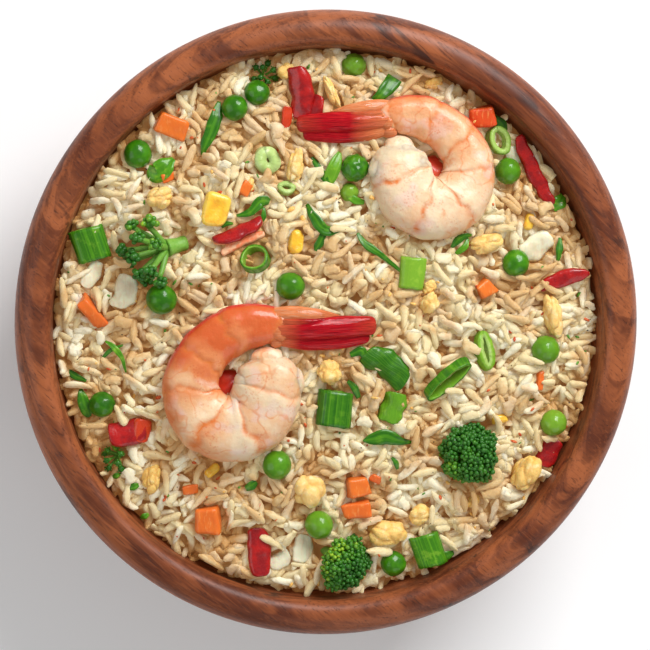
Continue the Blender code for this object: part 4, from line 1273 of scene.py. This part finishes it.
# Cross-sections of the body seen from above, in the shrimp's own millimetres from head end to tail:
# x, y, half width and half thickness.
SECTIONS = (
    (10.8, 9.8, 4.4, 3.4),
    (11.0, 7.2, 7.9, 6.0),
    (11.0, 1.0, 9.4, 7.0),
    (8.4, -6.3, 9.5, 7.1),
    (1.7, -9.7, 9.4, 7.0),
    (-5.4, -7.7, 9.0, 6.8),
    (-9.7, -1.2, 8.1, 6.1),
    (-9.3, 6.0, 7.3, 5.6),
    (-4.7, 12.9, 6.9, 5.3),
    (2.6, 17.7, 6.6, 5.0),
    (10.4, 19.0, 5.6, 4.4),
    (15.6, 18.6, 4.0, 3.4),
)
# Where one segment of the body ends and the next begins, as shares of the body's length.
JOINTS = (0.16, 0.30, 0.43, 0.555, 0.665, 0.775, 0.93)
# Each row is one blade of the tail fan: its path as x, y, lift, its half widths and half thicknesses
# along it, how pale its root is, how far along that reaches, and how pale its tip is.
BLADES = (
    (((12.5, 15.8, 0.4), (21.0, 14.9, 0.6), (31.0, 15.0, 0.4), (39.6, 16.0, -0.4)), (2.2, 3.0, 2.9, 2.2),
        (2.2, 1.9, 1.5, 0.8), 1.2, 0.30, 0.0),
    (((12.5, 18.0, 1.6), (22.0, 18.0, 2.4), (32.0, 18.4, 2.0), (41.4, 18.5, 0.4)), (2.6, 3.0, 3.1, 2.5),
        (2.4, 2.3, 1.9, 0.9), 0.75, 0.27, 0.2),
    (((11.0, 21.6, 0.8), (17.0, 22.0, 2.2), (25.0, 21.6, 2.2), (31.5, 21.0, 0.8)), (2.0, 2.3, 1.8, 0.4),
        (2.0, 2.0, 1.6, 0.5), 1.5, 1.6, 0.3),
    (((12.6, 20.0, 1.8), (19.0, 19.8, 3.0), (27.0, 20.2, 2.6), (35.0, 20.4, 1.0)), (1.6, 1.2, 0.9, 0.3),
        (1.8, 1.6, 1.2, 0.4), 0.8, 0.5, 0.1),
)
# Each row: x, y, lift, half size and warmth of a lobe at the cut head end. The last one is shell red and
# lies low inside the curl, where it closes the hole.
HEAD_LOBES = (
    (6.7, 3.2, 1.6, 4.8, 0.04),
    (9.6, 5.6, 1.8, 4.3, 0.02),
    (13.4, 5.4, 1.6, 4.5, 0.0),
    (16.4, 3.0, 0.8, 4.6, 0.08),
    (0.6, 1.2, -6.4, 5.0, 1.5),
)
# Knobs of the joint between the last segment and the fan. Each row: x, y, lift, half size.
TAIL_KNOBS = (
    (13.4, 20.6, 1.4, 2.3),
    (14.2, 17.2, 1.6, 2.5),
    (13.4, 14.6, 0.8, 2.2),
    (15.6, 19.0, 2.4, 1.8),
)
SHRIMP_LIFT = 2.6
TAIL_LIFT = 2.2
# Each row: node, middle of the curl, mirrored or not, turn in degrees, scale, and how orange it is.
SHRIMPS = (
    ("shrimp_left", -29.1, -18.5, 1, 0, 1.0, 1.0),
    ("shrimp_right", 29.6, 41.4, -1, 4, 0.92, 0.42),
)


def shrimp_seat(x, y, side, turn, scale):
    """The matrix that takes a shrimp's own millimetres to the bowl, before the dome lifts it."""
    flip = Matrix.Diagonal((side, 1, 1, 1))
    spin = Matrix.Rotation(math.radians(turn), 4, "Z")
    return Matrix.Translation((x, y, 0)) @ spin @ flip @ Matrix.Scale(scale, 4)


def draped(points, matrix, lift):
    """Points taken to the bowl, each raised by the dome under the line it belongs to."""
    out = []
    for point, spine in points:
        spot = matrix @ Vector(point)
        below = matrix @ Vector((spine[0], spine[1], 0))
        out.append((spot.x, spot.y, spot.z + dome_height(below.x, below.y) + lift))
    return np.array(out)


def add_body(pile, matrix, heat, seed):
    """The curled body: swelling segments with a crease between each, and a lumpy cut head end."""
    count, around, cap = 230, 72, 14
    rows = smooth_rows(SECTIONS, count)
    rings, warm, vein, rim = [], [], [], []
    for i in range(-cap, count):
        row = rows[max(i, 0)]
        k = max(i, 0)
        ahead = rows[min(k + 1, count - 1)][:2] - rows[max(k - 1, 0)][:2]
        ahead = ahead / np.linalg.norm(ahead)
        side = np.array((-ahead[1], ahead[0]))
        centre, close = row[:2], 1.0
        if i < 0:
            t = -i / cap
            close = math.sqrt(max(0.0, 1 - t * t))
            centre = centre - ahead * 3.2 * t
        share = k / (count - 1)
        ring = []
        for j in range(around):
            turn = 2 * math.pi * j / around
            out, up = math.cos(turn), math.sin(turn)
            # Joints lean back over the top, like the shell plates they came out of.
            wander = Vector((2.6 * share + seed, 1.3 * out, 1.3 * up))
            place = share - 0.022 * up - 0.012 * out + 0.022 * noise.noise(wander * 1.7)
            near = min(range(len(JOINTS)), key=lambda n: abs(place - JOINTS[n]))
            gap = place - JOINTS[near]
            crease = math.exp(-((gap / 0.0085) ** 2))
            shoulder = math.exp(-(((gap - 0.022) / 0.020) ** 2))
            spot = Vector((centre[0] + out * row[2] * side[0], centre[1] + out * row[2] * side[1],
                up * row[3]))
            lump = 0.030 * noise.noise(spot / 4.6 + Vector((seed, 0, 0))) + 0.012 * noise.noise(spot / 1.7)
            depth = 0.034 if i >= 0 else 0.02
            swell = close * (1 + lump - depth * crease + 0.026 * shoulder)
            if i < 4:
                swell *= 1 + 0.16 * noise.noise(spot / 2.2 + Vector((0, seed, 3)))
            squareness = 1 + 0.05 * abs(math.sin(2 * turn))
            wide = row[2] * swell * squareness
            tall = row[3] * swell * squareness * (1 + 0.10 * max(0.0, up) * max(0.0, out))
            point = (centre[0] + out * wide * side[0], centre[1] + out * wide * side[1], up * tall)
            ring.append((point, centre))
            outer = max(0.0, out)
            base = max(0.0, (share - 0.26) / 0.50)
            patch = 0.22 * noise.noise(spot / 5.2 + Vector((1, seed, 9)))
            plate = 0.14 * math.exp(-(((gap + 0.022) / 0.020) ** 2)) - 0.20 * math.exp(-(((gap - 0.032)
                / 0.026) ** 2))
            patch += plate * min(1.0, share * 3)
            warm.append(heat
                * (min(1.0, base**2.4) * (0.86 + 0.22 * outer) + patch + 0.26 * outer**3
                * min(1.0, share * 2) + 0.13))
            vein.append(crease * (0.5 + 0.5 * max(0.0, up))
                * (0.7 + 0.7 * noise.noise(spot / 3.1 + Vector((4, 4, seed)))))
            edge = min(1.0, max(0.0, outer - 0.84) / 0.10) * (1.0 if up > -0.5 else 0.3)
            rim.append(edge * min(1.0, max(0.0, share - 0.57) / 0.10) * (0.55 + 0.45 * heat))
        rings.append(draped(ring, matrix, SHRIMP_LIFT))
    points, faces = loft(rings)
    ends = [0.0, 0.0]
    pile.add(points, faces, warm=warm + ends, vein=vein + ends, rim=rim + ends)
    # Lobes of flesh where the head was cut away.
    shapes, faces = ball(4)
    for x, y, lift, size, warmth in HEAD_LOBES:
        lobe = bumped(shapes, 1.4, 0.20, seed + x) * (size, size, 0.8 * size) + np.array((x, y, lift))
        spots = draped([(point, (x, y)) for point in lobe], matrix, SHRIMP_LIFT)
        pile.add(spots, faces, warm=warmth * heat, vein=0.0, rim=0.7 if warmth > 1 else 0.0)


def add_tail(pile, matrix, heat, seed):
    """The tail fan: long lying blades with ribs along them, each ending square or in a point."""
    for b, (path, widths, thicknesses, root, fade, tip) in enumerate(BLADES):
        count, around = 64, 40
        root, fade = root * (1.5 - 0.5 * heat), fade * (2.2 - 1.2 * heat)
        spine = smooth_rows(path, count)
        wide = smooth_rows([[w] for w in widths], count)[:, 0]
        thick = smooth_rows([[w] for w in thicknesses], count)[:, 0]
        rings, along, lane, pale = [], [], [], []
        for i in range(count):
            share = i / (count - 1)
            ahead = spine[min(i + 1, count - 1)] - spine[max(i - 1, 0)]
            ahead /= np.linalg.norm(ahead)
            side = np.array((-ahead[1], ahead[0], 0.0))
            close = math.sqrt(max(0.0, 1 - max(0.0, (share - 0.90) / 0.10) ** 2.6))
            close *= math.sqrt(max(0.02, 1 - max(0.0, (0.08 - share) / 0.08) ** 2))
            ring = []
            for j in range(around):
                turn = 2 * math.pi * j / around
                out, up = math.cos(turn), math.sin(turn)
                rib = 0.10 * abs(math.sin(3.2 * out + b)) * max(0.0, up)
                rough = 0.06 * noise.noise(Vector((6 * share, 3 * out, seed + b)))
                swell = 1 + rough
                reach = wide[i] * close * swell * out
                lift = thick[i] * close * (swell + rib) * up
                point = spine[i] + side * reach + np.array((0.0, 0.0, lift))
                ring.append((point, spine[i]))
                along.append(share * 4)
                lane.append(out * 1.4 + b)
                pale.append(max(0.0, root * (1 - share / fade)) + max(0.0, tip * (share - 0.72) / 0.28)
                    * max(0.0, up))
            rings.append(draped(ring, matrix, TAIL_LIFT))
        points, faces = loft(rings)
        ends = [0.0, 0.0]
        pile.add(points, faces, along=along + ends, lane=lane + ends, pale=pale + ends)
    # Knobbly joint between the last segment and the fan.
    draw = random.Random(seed)
    points, faces = ball(3)
    for x, y, lift, size in TAIL_KNOBS:
        shape = bumped(points, 1.5, 0.22, seed + x) * size * draw.uniform(0.92, 1.08)
        ring = [(point + np.array((x, y, lift)), (x, y)) for point in shape]
        spots = draped(ring, matrix, TAIL_LIFT)
        pile.add(spots, faces, along=0.3, lane=shape[:, 1] * 0.6, pale=0.9)


def build_shrimps(settings):
    flesh, tail = flesh_look(settings), tail_look(settings)
    for i, (node, x, y, side, turn, scale, heat) in enumerate(SHRIMPS):
        matrix = shrimp_seat(x, y, side, turn, scale)
        body, fan = Pile("warm", "vein", "rim"), Pile("along", "lane", "pale")
        add_body(body, matrix, heat, 3 + 5 * i)
        add_tail(fan, matrix, heat, 2 + 3 * i)
        body.piece(f"{node}_flesh", flesh, "shrimp", (node,))
        fan.piece(f"{node}_tail", tail, "shrimp", (node,))


# ---- rice ----------------------------------------------------------------------------------------

GRID_STEP = 0.5
GRID_REACH = 79.0
# A grain counts as low from a little above the heap's middle height down to this depth, in millimetres.
LOW_FROM = 0.9
LOW_DEPTH = 3.0
# Painted shade: the heap turns warmer and darker towards the lower left, away from the key light, by this
# much at this distance.
PAINTED_SHADE_SIDE = 0.20
PAINTED_SHADE_SIDE_REACH = 100
GRAIN_SIDES = 7
# Rice pieces from the lowest layer up; lower layers are painted warmer and darker, partly oil and partly
# painted shade.
LOOKS_OF_RICE = ("rice_grains_oiled_and_shaded", "rice_grains_creamy", "rice_grains_pale")


def lid_of(objects, x, y):
    """Heights of the toppings' tops over each spot of the grid, very low where there is none."""
    lids = np.full(x.shape, -1000.0)
    for obj in objects:
        points = [vertex.co / MM for vertex in obj.data.vertices]
        tree = BVHTree.FromPolygons(points, [tuple(face.vertices) for face in obj.data.polygons])
        low = np.min(points, axis=0) - 1
        high = np.max(points, axis=0) + 1
        for i, j in zip(*np.nonzero((x > low[0]) & (x < high[0]) & (y > low[1]) & (y < high[1]))):
            hit = tree.ray_cast(Vector((x[i, j], y[i, j], 120.0)), Vector((0, 0, -1)))
            if hit[0] is not None:
                lids[i, j] = max(lids[i, j], hit[0].z)
    return lids


def grain_shapes(draw, count):
    """Different cooked grains, each a closed loft lying along X: points, half sizes and end marks."""
    shapes = []
    for n in range(count):
        long_side, width = draw.uniform(6.0, 8.8), draw.uniform(1.7, 2.35)
        thick = width * draw.uniform(0.66, 0.82)
        kind = draw.random()
        broken = kind < 0.30
        if broken:
            long_side, width = draw.uniform(3.8, 5.8), draw.uniform(1.9, 2.6)
        if kind < 0.10:
            width, thick = draw.uniform(2.8, 3.7), draw.uniform(1.0, 1.4)
        bend = draw.gauss(0, 0.075) * long_side
        skew = draw.uniform(-0.35, 0.35)
        taper = draw.uniform(2.6, 5.5)
        seed = Vector((n * 3.1, 0, 0))
        rings, ends = [], []
        for t in (-0.96, -0.72, -0.28, 0.28, 0.72, 0.96):
            body = (1 - abs(t) ** taper) ** 0.5 * (1 + skew * t)
            if broken and t > 0.6:
                body = max(body, 0.60 + 0.2 * draw.random())
            ring = []
            for k in range(GRAIN_SIDES):
                turn = 2 * math.pi * (k + 0.5) / GRAIN_SIDES
                spot = Vector((t * 1.6, math.cos(turn), math.sin(turn)))
                rough = 1 + 0.62 * noise.noise(spot * 1.3 + seed)
                y = 0.5 * width * body * math.cos(turn) * rough + bend * (t * t - 0.4)
                ring.append((0.5 * long_side * t, y, 0.5 * thick * body * math.sin(turn) * rough))
            rings.append(ring)
            ends += [abs(t) ** 3] * GRAIN_SIDES
        points, faces = loft(rings)
        points[-2][0] = -0.5 * long_side
        points[-1][0] = 0.5 * long_side * (0.985 if broken else 1.0)
        shapes.append((points, (long_side, width, thick), np.array(ends + [1.0, 1.0])))
    if enclosed(points, faces) < 0:
        faces = [face[::-1] for face in faces]
    return shapes, faces


class Heap:
    """Heights of everything lying in the bowl, on a grid, so that a grain can be laid where it rests."""

    def __init__(self, bed_depth, clumps, toppings):
        line = np.arange(-GRID_REACH, GRID_REACH + GRID_STEP, GRID_STEP)
        self.x, self.y = np.meshgrid(line, line)
        away = np.hypot(self.x, self.y)
        flat = zip(self.x.ravel(), self.y.ravel())
        self.even = np.array([heap_height(x, y) for x, y in flat]).reshape(self.x.shape)
        flat = zip(self.x.ravel(), self.y.ravel())
        relief = [noise.noise(Vector((x, y, 9)) / 9.0) + 0.6 * noise.noise(Vector((x, y, 40)) / 4.5) for x,
            y in flat]
        self.aim = self.even + clumps * np.array(relief).reshape(self.x.shape)
        self.top = self.even - bed_depth
        outside = away > wall_radius(HEAP_EDGE) - 0.7
        self.top[outside] = 90.0
        self.lid = lid_of(toppings, self.x, self.y)
        self.along = np.linspace(-0.92, 0.92, 9)
        self.slopes = np.linspace(-0.62, 0.62, 25)

    def at(self, grid, x, y):
        i = np.clip(((y + GRID_REACH) / GRID_STEP + 0.5).astype(int), 0, self.x.shape[0] - 1)
        j = np.clip(((x + GRID_REACH) / GRID_STEP + 0.5).astype(int), 0, self.x.shape[1] - 1)
        return grid[i, j]

    def rest(self, grid, x, y, heading, size):
        """Slope and height at which a rod lies on what is under it, touching on both sides of its middle."""
        c, s = math.cos(heading), math.sin(heading)
        ground = None
        for v in (-0.55, 0.0, 0.55):
            u, w = self.along * size[0] / 2, v * size[1] / 2
            row = self.at(grid, x + c * u - s * w, y + s * u + c * w)
            ground = row if ground is None else np.maximum(ground, row)
        reach = self.along * size[0] / 2
        heights = (ground[None, :] - self.slopes[:, None] * reach[None, :]).max(axis=1)
        k = int(heights.argmin())
        return self.slopes[k], heights[k]

    def patch(self, x, y, heading, slope, height, size):
        """The grid cells under a grain and the height of its upper side over each."""
        n = int(size[0] / 2 / GRID_STEP) + 2
        i, j = int((y + GRID_REACH) / GRID_STEP + 0.5), int((x + GRID_REACH) / GRID_STEP + 0.5)
        rows, columns = slice(max(0, i - n), i + n + 1), slice(max(0, j - n), j + n + 1)
        dx, dy = self.x[rows, columns] - x, self.y[rows, columns] - y
        c, s = math.cos(heading), math.sin(heading)
        u, v = dx * c + dy * s, dy * c - dx * s
        far = (np.abs(u) / (size[0] / 2)) ** 2.5 + (v / (size[1] / 2)) ** 2
        inside = far < 1
        upper = height + slope * u + size[2] / 2 * (1 + np.sqrt(np.clip(1 - far, 0, 1)))
        return rows, columns, inside, upper


def lay_rice(settings, toppings):
    """Lays the grains one by one in the lowest places. Gives each grain's shape, matrix and marks."""
    draw = random.Random(20)
    shapes, faces = grain_shapes(draw, 120)
    heap = Heap(settings.bed_depth / MM, settings.clumps / MM, toppings)
    edge = wall_radius(HEAP_EDGE) - 1.6
    laid, beside = [], None
    tries = 0
    while len(laid) < settings.grains and tries < 12 * settings.grains:
        tries += 1
        late = len(laid) > 0.90 * settings.grains
        best = None
        for _ in range(7 if not late else 2):
            radius, turn = edge * math.sqrt(draw.random()), draw.uniform(0, 2 * math.pi)
            x, y = radius * math.cos(turn), radius * math.sin(turn)
            i, j = int((y + GRID_REACH) / GRID_STEP + 0.5), int((x + GRID_REACH) / GRID_STEP + 0.5)
            level = heap.top[i, j] - heap.aim[i, j]
            if heap.lid[i, j] > heap.top[i, j] + 3.5:
                level += 6
            if best is None or level < best[0]:
                best = level, x, y
        level, x, y = best
        shape, size, ends = shapes[draw.randrange(len(shapes))]
        drift = noise.noise(Vector((x / 16, y / 16, 8.0))) * 3.5
        heading = drift + draw.gauss(0, 0.9)
        if beside is not None and draw.random() < 0.45:
            # Sticky rice: this grain lies against the last one, nearly in line with it.
            x, y, heading = beside
            aside = draw.choice((-1, 1)) * draw.uniform(0.6, 0.9) * size[1]
            x -= math.sin(heading) * aside
            y += math.cos(heading) * aside
            heading += draw.gauss(0, 0.16)
            if math.hypot(x, y) > edge:
                beside = None
                continue
        over = late and draw.random() < 0.35
        grid = np.maximum(heap.top, heap.lid) if over else heap.top
        slope, height = heap.rest(grid, x, y, heading, size)
        height -= 0.55
        if draw.random() < 0.38 and not over:
            # Some grains stand up out of the ones around them.
            slope = max(-1.1, min(1.1, draw.gauss(0, 0.55)))
            height = heap.at(heap.top, np.array([x]), np.array([y]))[0] - draw.uniform(0.6, 1.5)
        rows, columns, inside, upper = heap.patch(x, y, heading, slope, height, size)
        aim = heap.aim[rows, columns]
        lid = heap.lid[rows, columns]
        beside = None
        if (upper - aim)[inside].max() > draw.choice((1.3, 1.8, 2.4, 3.2)):
            continue
        covered = inside & (lid > -500)
        if covered.any():
            share = covered.sum() / inside.sum()
            clear = upper[covered] < lid[covered] - 0.10
            if over:
                if share > 0.45:
                    continue
            elif not clear.all():
                continue
        beside = (x, y, heading)
        patch = heap.top[rows, columns]
        patch[inside] = np.maximum(patch[inside], upper[inside])
        way = Vector((math.cos(heading), math.sin(heading), slope)).normalized()
        across = Vector((-math.sin(heading), math.cos(heading), 0))
        roll = draw.gauss(0, 0.35)
        up = way.cross(across)
        y_axis = across * math.cos(roll) + up * math.sin(roll)
        z_axis = up * math.cos(roll) - across * math.sin(roll)
        turn = np.array((way, y_axis, z_axis))
        centre = np.array((x, y, height + size[2] / 2))
        middle_level = (height + size[2] / 2) - heap_height(x, y)
        laid.append((shape @ turn + centre, ends, draw.random(), middle_level))
    return laid, faces, heap


def build_rice(settings, toppings):
    laid, faces, heap = lay_rice(settings, toppings)
    levels = sorted(row[3] for row in laid)
    deep_line, high_line = levels[len(laid) // 3], levels[2 * len(laid) // 3]
    piles = [Pile("tone", "end", "low") for _ in LOOKS_OF_RICE]
    for points, ends, tone, level in laid:
        pile = piles[0 if level < deep_line else 1 if level < high_line else 2]
        even = heap.at(heap.even, points[:, 0], points[:, 1])
        under = 0.5 * (even + heap.at(heap.aim, points[:, 0], points[:, 1])) - points[:, 2]
        # Painted shade: grains towards the lower left count as lower, so they turn warmer and darker.
        to_lower_left = np.clip(-(points[:, 0] + points[:, 1]) / PAINTED_SHADE_SIDE_REACH, -0.5, 1)
        spots_low = np.clip((under + LOW_FROM) / LOW_DEPTH + PAINTED_SHADE_SIDE * to_lower_left, 0, 1)
        pile.add(points, faces, outward=True, tone=tone, end=ends, low=spots_low)
    made = []
    # Painted shade and oil: each lower layer is warmed more.
    for pile, name, deep in zip(piles, LOOKS_OF_RICE, (0.45, 0.12, 0.0)):
        made.append(pile.piece(name, rice_look(name, settings, deep), "rice", ("rice",)))
    return made


def build_bed(settings):
    """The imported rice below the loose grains: an uneven top on a round body that follows the bowl."""
    pile = Pile()
    around, depth = 180, settings.bed_depth / MM
    turns = np.linspace(0, 2 * math.pi, around, endpoint=False)
    edge = wall_radius(HEAP_EDGE - depth) - 0.6
    rings = []
    for share in np.linspace(0.01, 1.0, 70):
        radius = edge * share
        ring = []
        for turn in turns:
            x, y = radius * math.cos(turn), radius * math.sin(turn)
            relief = 0.9 * noise.noise(Vector((x / 2.2, y / 3.0, 3.0))) + 0.5 * noise.noise(Vector((x, y,
                5.0)) / 1.2)
            ring.append((x, y, heap_height(x, y) - depth + relief * min(1.0, 8 * (1 - share))))
        rings.append(ring)
    for z in np.linspace(HEAP_EDGE - depth - 3, FLOOR_HEIGHT + 2.0, 14):
        radius = wall_radius(z) - 0.6
        rings.append([(radius * math.cos(turn), radius * math.sin(turn), z) for turn in turns])
    rings.append([(math.cos(turn), math.sin(turn), FLOOR_HEIGHT + 1.0) for turn in turns])
    points, faces = loft(rings)
    pile.add(points, [face[::-1] for face in faces])
    return pile.piece("rice_bed", bed_look(settings), "rice", ("rice",))


def surface_of(objects):
    points, faces = [], []
    for obj in objects:
        start = len(points)
        points += [vertex.co / MM for vertex in obj.data.vertices]
        faces += [tuple(i + start for i in face.vertices) for face in obj.data.polygons]
    return BVHTree.FromPolygons(points, faces)


# Each row: piece name, two colours, how many, smallest and largest half size, and flatness.
FLECKS = (
    ("chili_flecks", (0.50, 0.045, 0.012), (0.72, 0.16, 0.03), 120, 0.22, 0.75, 0.45),
    ("pepper_specks", (0.020, 0.012, 0.008), (0.10, 0.05, 0.02), 240, 0.10, 0.26, 0.8),
    ("herb_flecks", (0.04, 0.17, 0.015), (0.15, 0.36, 0.03), 90, 0.25, 0.70, 0.30),
    ("egg_crumbs", (0.90, 0.62, 0.20), (0.86, 0.42, 0.08), 60, 0.4, 1.0, 0.7),
)


def build_flecks():
    """Seasoning that lies on the grains: flecks of chili, herb and pepper, and crumbs of egg."""
    rice = [bpy.data.objects[name] for name in LOOKS_OF_RICE]
    tree = surface_of(rice)
    draw = random.Random(8)
    points, faces = ball(2)
    for name, first, second, count, small, large, flat in FLECKS:
        pile = Pile()
        while count > 0:
            radius, turn = 75 * math.sqrt(draw.random()), draw.uniform(0, 2 * math.pi)
            x, y = radius * math.cos(turn), radius * math.sin(turn)
            spot, normal, _, _ = tree.ray_cast(Vector((x, y, 120.0)), Vector((0, 0, -1)))
            count -= 1
            if spot is None or normal.z < 0.35:
                continue
            half = small + (large - small) * draw.random() ** 2.2
            size = np.array((half * draw.uniform(0.8, 1.7), half * draw.uniform(0.5, 0.9), half * flat))
            shape = bumped(points, 1.6, 0.35, draw.uniform(0, 90)) * size
            turn = normal.to_track_quat("Z", "Y").to_matrix() @ Matrix.Rotation(draw.uniform(0, 6.28), 3, "Z")
            pile.add(shape, faces, Matrix.Translation(spot + normal * size[2] * 0.3) @ turn.to_4x4())
        pile.piece(name, fleck_look(name, first, second), "rice")


# ---- stage ---------------------------------------------------------------------------------------


def aimed(name, kind, place, target, **values):
    """A lamp at a place, pointed at the bowl."""
    lamp = bpy.data.lights.new(name, kind)
    for key, value in values.items():
        setattr(lamp, key, value)
    obj = bpy.data.objects.new(name, lamp)
    obj.location = place
    obj.rotation_euler = (Vector(target) - Vector(place)).to_track_quat("-Z", "Y").to_euler()
    bpy.context.scene.collection.objects.link(obj)
    return obj


def build_stage(settings):
    scene = bpy.context.scene
    bm = bmesh.new()
    bmesh.ops.create_grid(bm, x_segments=24, y_segments=24, size=3.0)
    mesh = bpy.data.meshes.new("studio_floor")
    bm.to_mesh(mesh)
    bm.free()
    mesh.materials.append(floor_look(settings.floor))
    floor = bpy.data.objects.new("studio_floor", mesh)
    floor.location.z = -0.0004
    scene.collection.objects.link(floor)

    aim = (0.0, 0.0, 0.05)
    # Lamps stand low round the bowl, so that nothing bright hangs overhead for wet food to mirror.
    aimed("key_light", "AREA", (0.34, 0.62, 0.62), aim, energy=settings.key, size=0.50)
    aimed("left_fill", "AREA", (-0.75, -0.10, 0.55), aim, energy=settings.key * 0.20, size=0.7)
    aimed("front_fill", "AREA", (0.30, -0.70, 0.50), aim, energy=settings.key * 0.17, size=0.7)

    world = bpy.data.worlds.new("studio")
    world.use_nodes = True
    back = next(n for n in world.node_tree.nodes if n.type == "BACKGROUND")
    back.inputs["Color"].default_value = (1.0, 1.0, 1.0, 1.0)
    back.inputs["Strength"].default_value = settings.sky
    scene.world = world
    scene.view_settings.view_transform = "Standard"

    camera = bpy.data.cameras.new("camera")
    camera.lens, camera.sensor_width = 158.94, 36
    eye = bpy.data.objects.new("camera", camera)
    tilt = math.radians(7.5)
    back_way = Vector((-0.848 * math.sin(tilt), 0.531 * math.sin(tilt), math.cos(tilt))).normalized()
    eye.location = Vector((-0.00143, -0.00013, 0.060)) + 0.8 * back_way
    right = Vector((0, 1, 0)).cross(back_way).normalized()
    eye.rotation_euler = Matrix((right, back_way.cross(right), back_way)).transposed().to_euler()
    scene.collection.objects.link(eye)
    scene.camera = eye
    return floor


# ---- the add-on ----------------------------------------------------------------------------------

TOPPING_PIECES = (
    "green_peas",
    "egg_pieces",
    "carrot_dice",
    "corn_kernels",
    "pepper_strips",
    "scallion_cuts",
    "broccoli_florets",
    "onion_bits",
    "shrimp_left_flesh",
    "shrimp_left_tail",
    "shrimp_right_flesh",
    "shrimp_right_tail",
)


class DISH_OT_bowl(bpy.types.Operator):
    """Turn the wooden bowl"""

    bl_idname = "dish.bowl"
    bl_label = "Wooden Bowl"

    def execute(self, context):
        build_bowl(context.scene.dish_bowl)
        return {"FINISHED"}


class DISH_OT_vegetables(bpy.types.Operator):
    """Make the peas, corn, carrot, pepper, spring onion, onion and broccoli"""

    bl_idname = "dish.vegetables"
    bl_label = "Vegetables"

    def execute(self, context):
        settings = context.scene.dish_toppings
        for build in (build_peas, build_carrots, build_corn, build_peppers, build_scallions, build_broccoli,
            build_onion):
            build(settings)
        return {"FINISHED"}


class DISH_OT_egg(bpy.types.Operator):
    """Make the pieces of scrambled egg"""

    bl_idname = "dish.egg"
    bl_label = "Egg"

    def execute(self, context):
        build_egg(context.scene.dish_toppings)
        return {"FINISHED"}


class DISH_OT_shrimps(bpy.types.Operator):
    """Make the two curled shrimps with their tails"""

    bl_idname = "dish.shrimps"
    bl_label = "Shrimps"

    def execute(self, context):
        build_shrimps(context.scene.dish_shrimp)
        return {"FINISHED"}


class DISH_OT_rice(bpy.types.Operator):
    """Lay the rice around the toppings, on a bed of packed rice"""

    bl_idname = "dish.rice"
    bl_label = "Rice"

    def execute(self, context):
        toppings = [bpy.data.objects[name] for name in TOPPING_PIECES]
        build_bed(context.scene.dish_rice)
        build_rice(context.scene.dish_rice, toppings)
        return {"FINISHED"}


class DISH_OT_seasoning(bpy.types.Operator):
    """Scatter the seasoning over the rice"""

    bl_idname = "dish.seasoning"
    bl_label = "Seasoning"

    def execute(self, context):
        build_flecks()
        return {"FINISHED"}


class DISH_OT_stage(bpy.types.Operator):
    """Set the floor, the lights and the camera"""

    bl_idname = "dish.stage"
    bl_label = "Stage"

    def execute(self, context):
        build_stage(context.scene.dish_stage)
        return {"FINISHED"}


STEPS = (
    DISH_OT_bowl,
    DISH_OT_vegetables,
    DISH_OT_egg,
    DISH_OT_shrimps,
    DISH_OT_rice,
    DISH_OT_seasoning,
    DISH_OT_stage,
)
SETTINGS = {
    "dish_bowl": BowlSettings,
    "dish_rice": RiceSettings,
    "dish_shrimp": ShrimpSettings,
    "dish_toppings": ToppingSettings,
    "dish_stage": StageSettings,
}


class DISH_PT_panel(bpy.types.Panel):
    """Lists the steps that build the dish and their settings"""

    bl_idname = "DISH_PT_panel"
    bl_label = "Rice Bowl"
    bl_space_type = "VIEW_3D"
    bl_region_type = "UI"
    bl_category = "Rice Bowl"

    def draw(self, context):
        for step in STEPS:
            self.layout.operator(step.bl_idname)
        for name, group in SETTINGS.items():
            box = self.layout.box()
            for field in group.__annotations__:
                box.prop(getattr(context.scene, name), field)


CLASSES = (*SETTINGS.values(), *STEPS, DISH_PT_panel)


def register():
    for cls in CLASSES:
        bpy.utils.register_class(cls)
    for name, group in SETTINGS.items():
        setattr(bpy.types.Scene, name, PointerProperty(type=group))


def unregister():
    for name in SETTINGS:
        delattr(bpy.types.Scene, name)
    for cls in reversed(CLASSES):
        bpy.utils.unregister_class(cls)


def main():
    register()
    for step in STEPS:
        group, action = step.bl_idname.split(".")
        getattr(getattr(bpy.ops, group), action)()


if __name__ == "__main__":
    main()
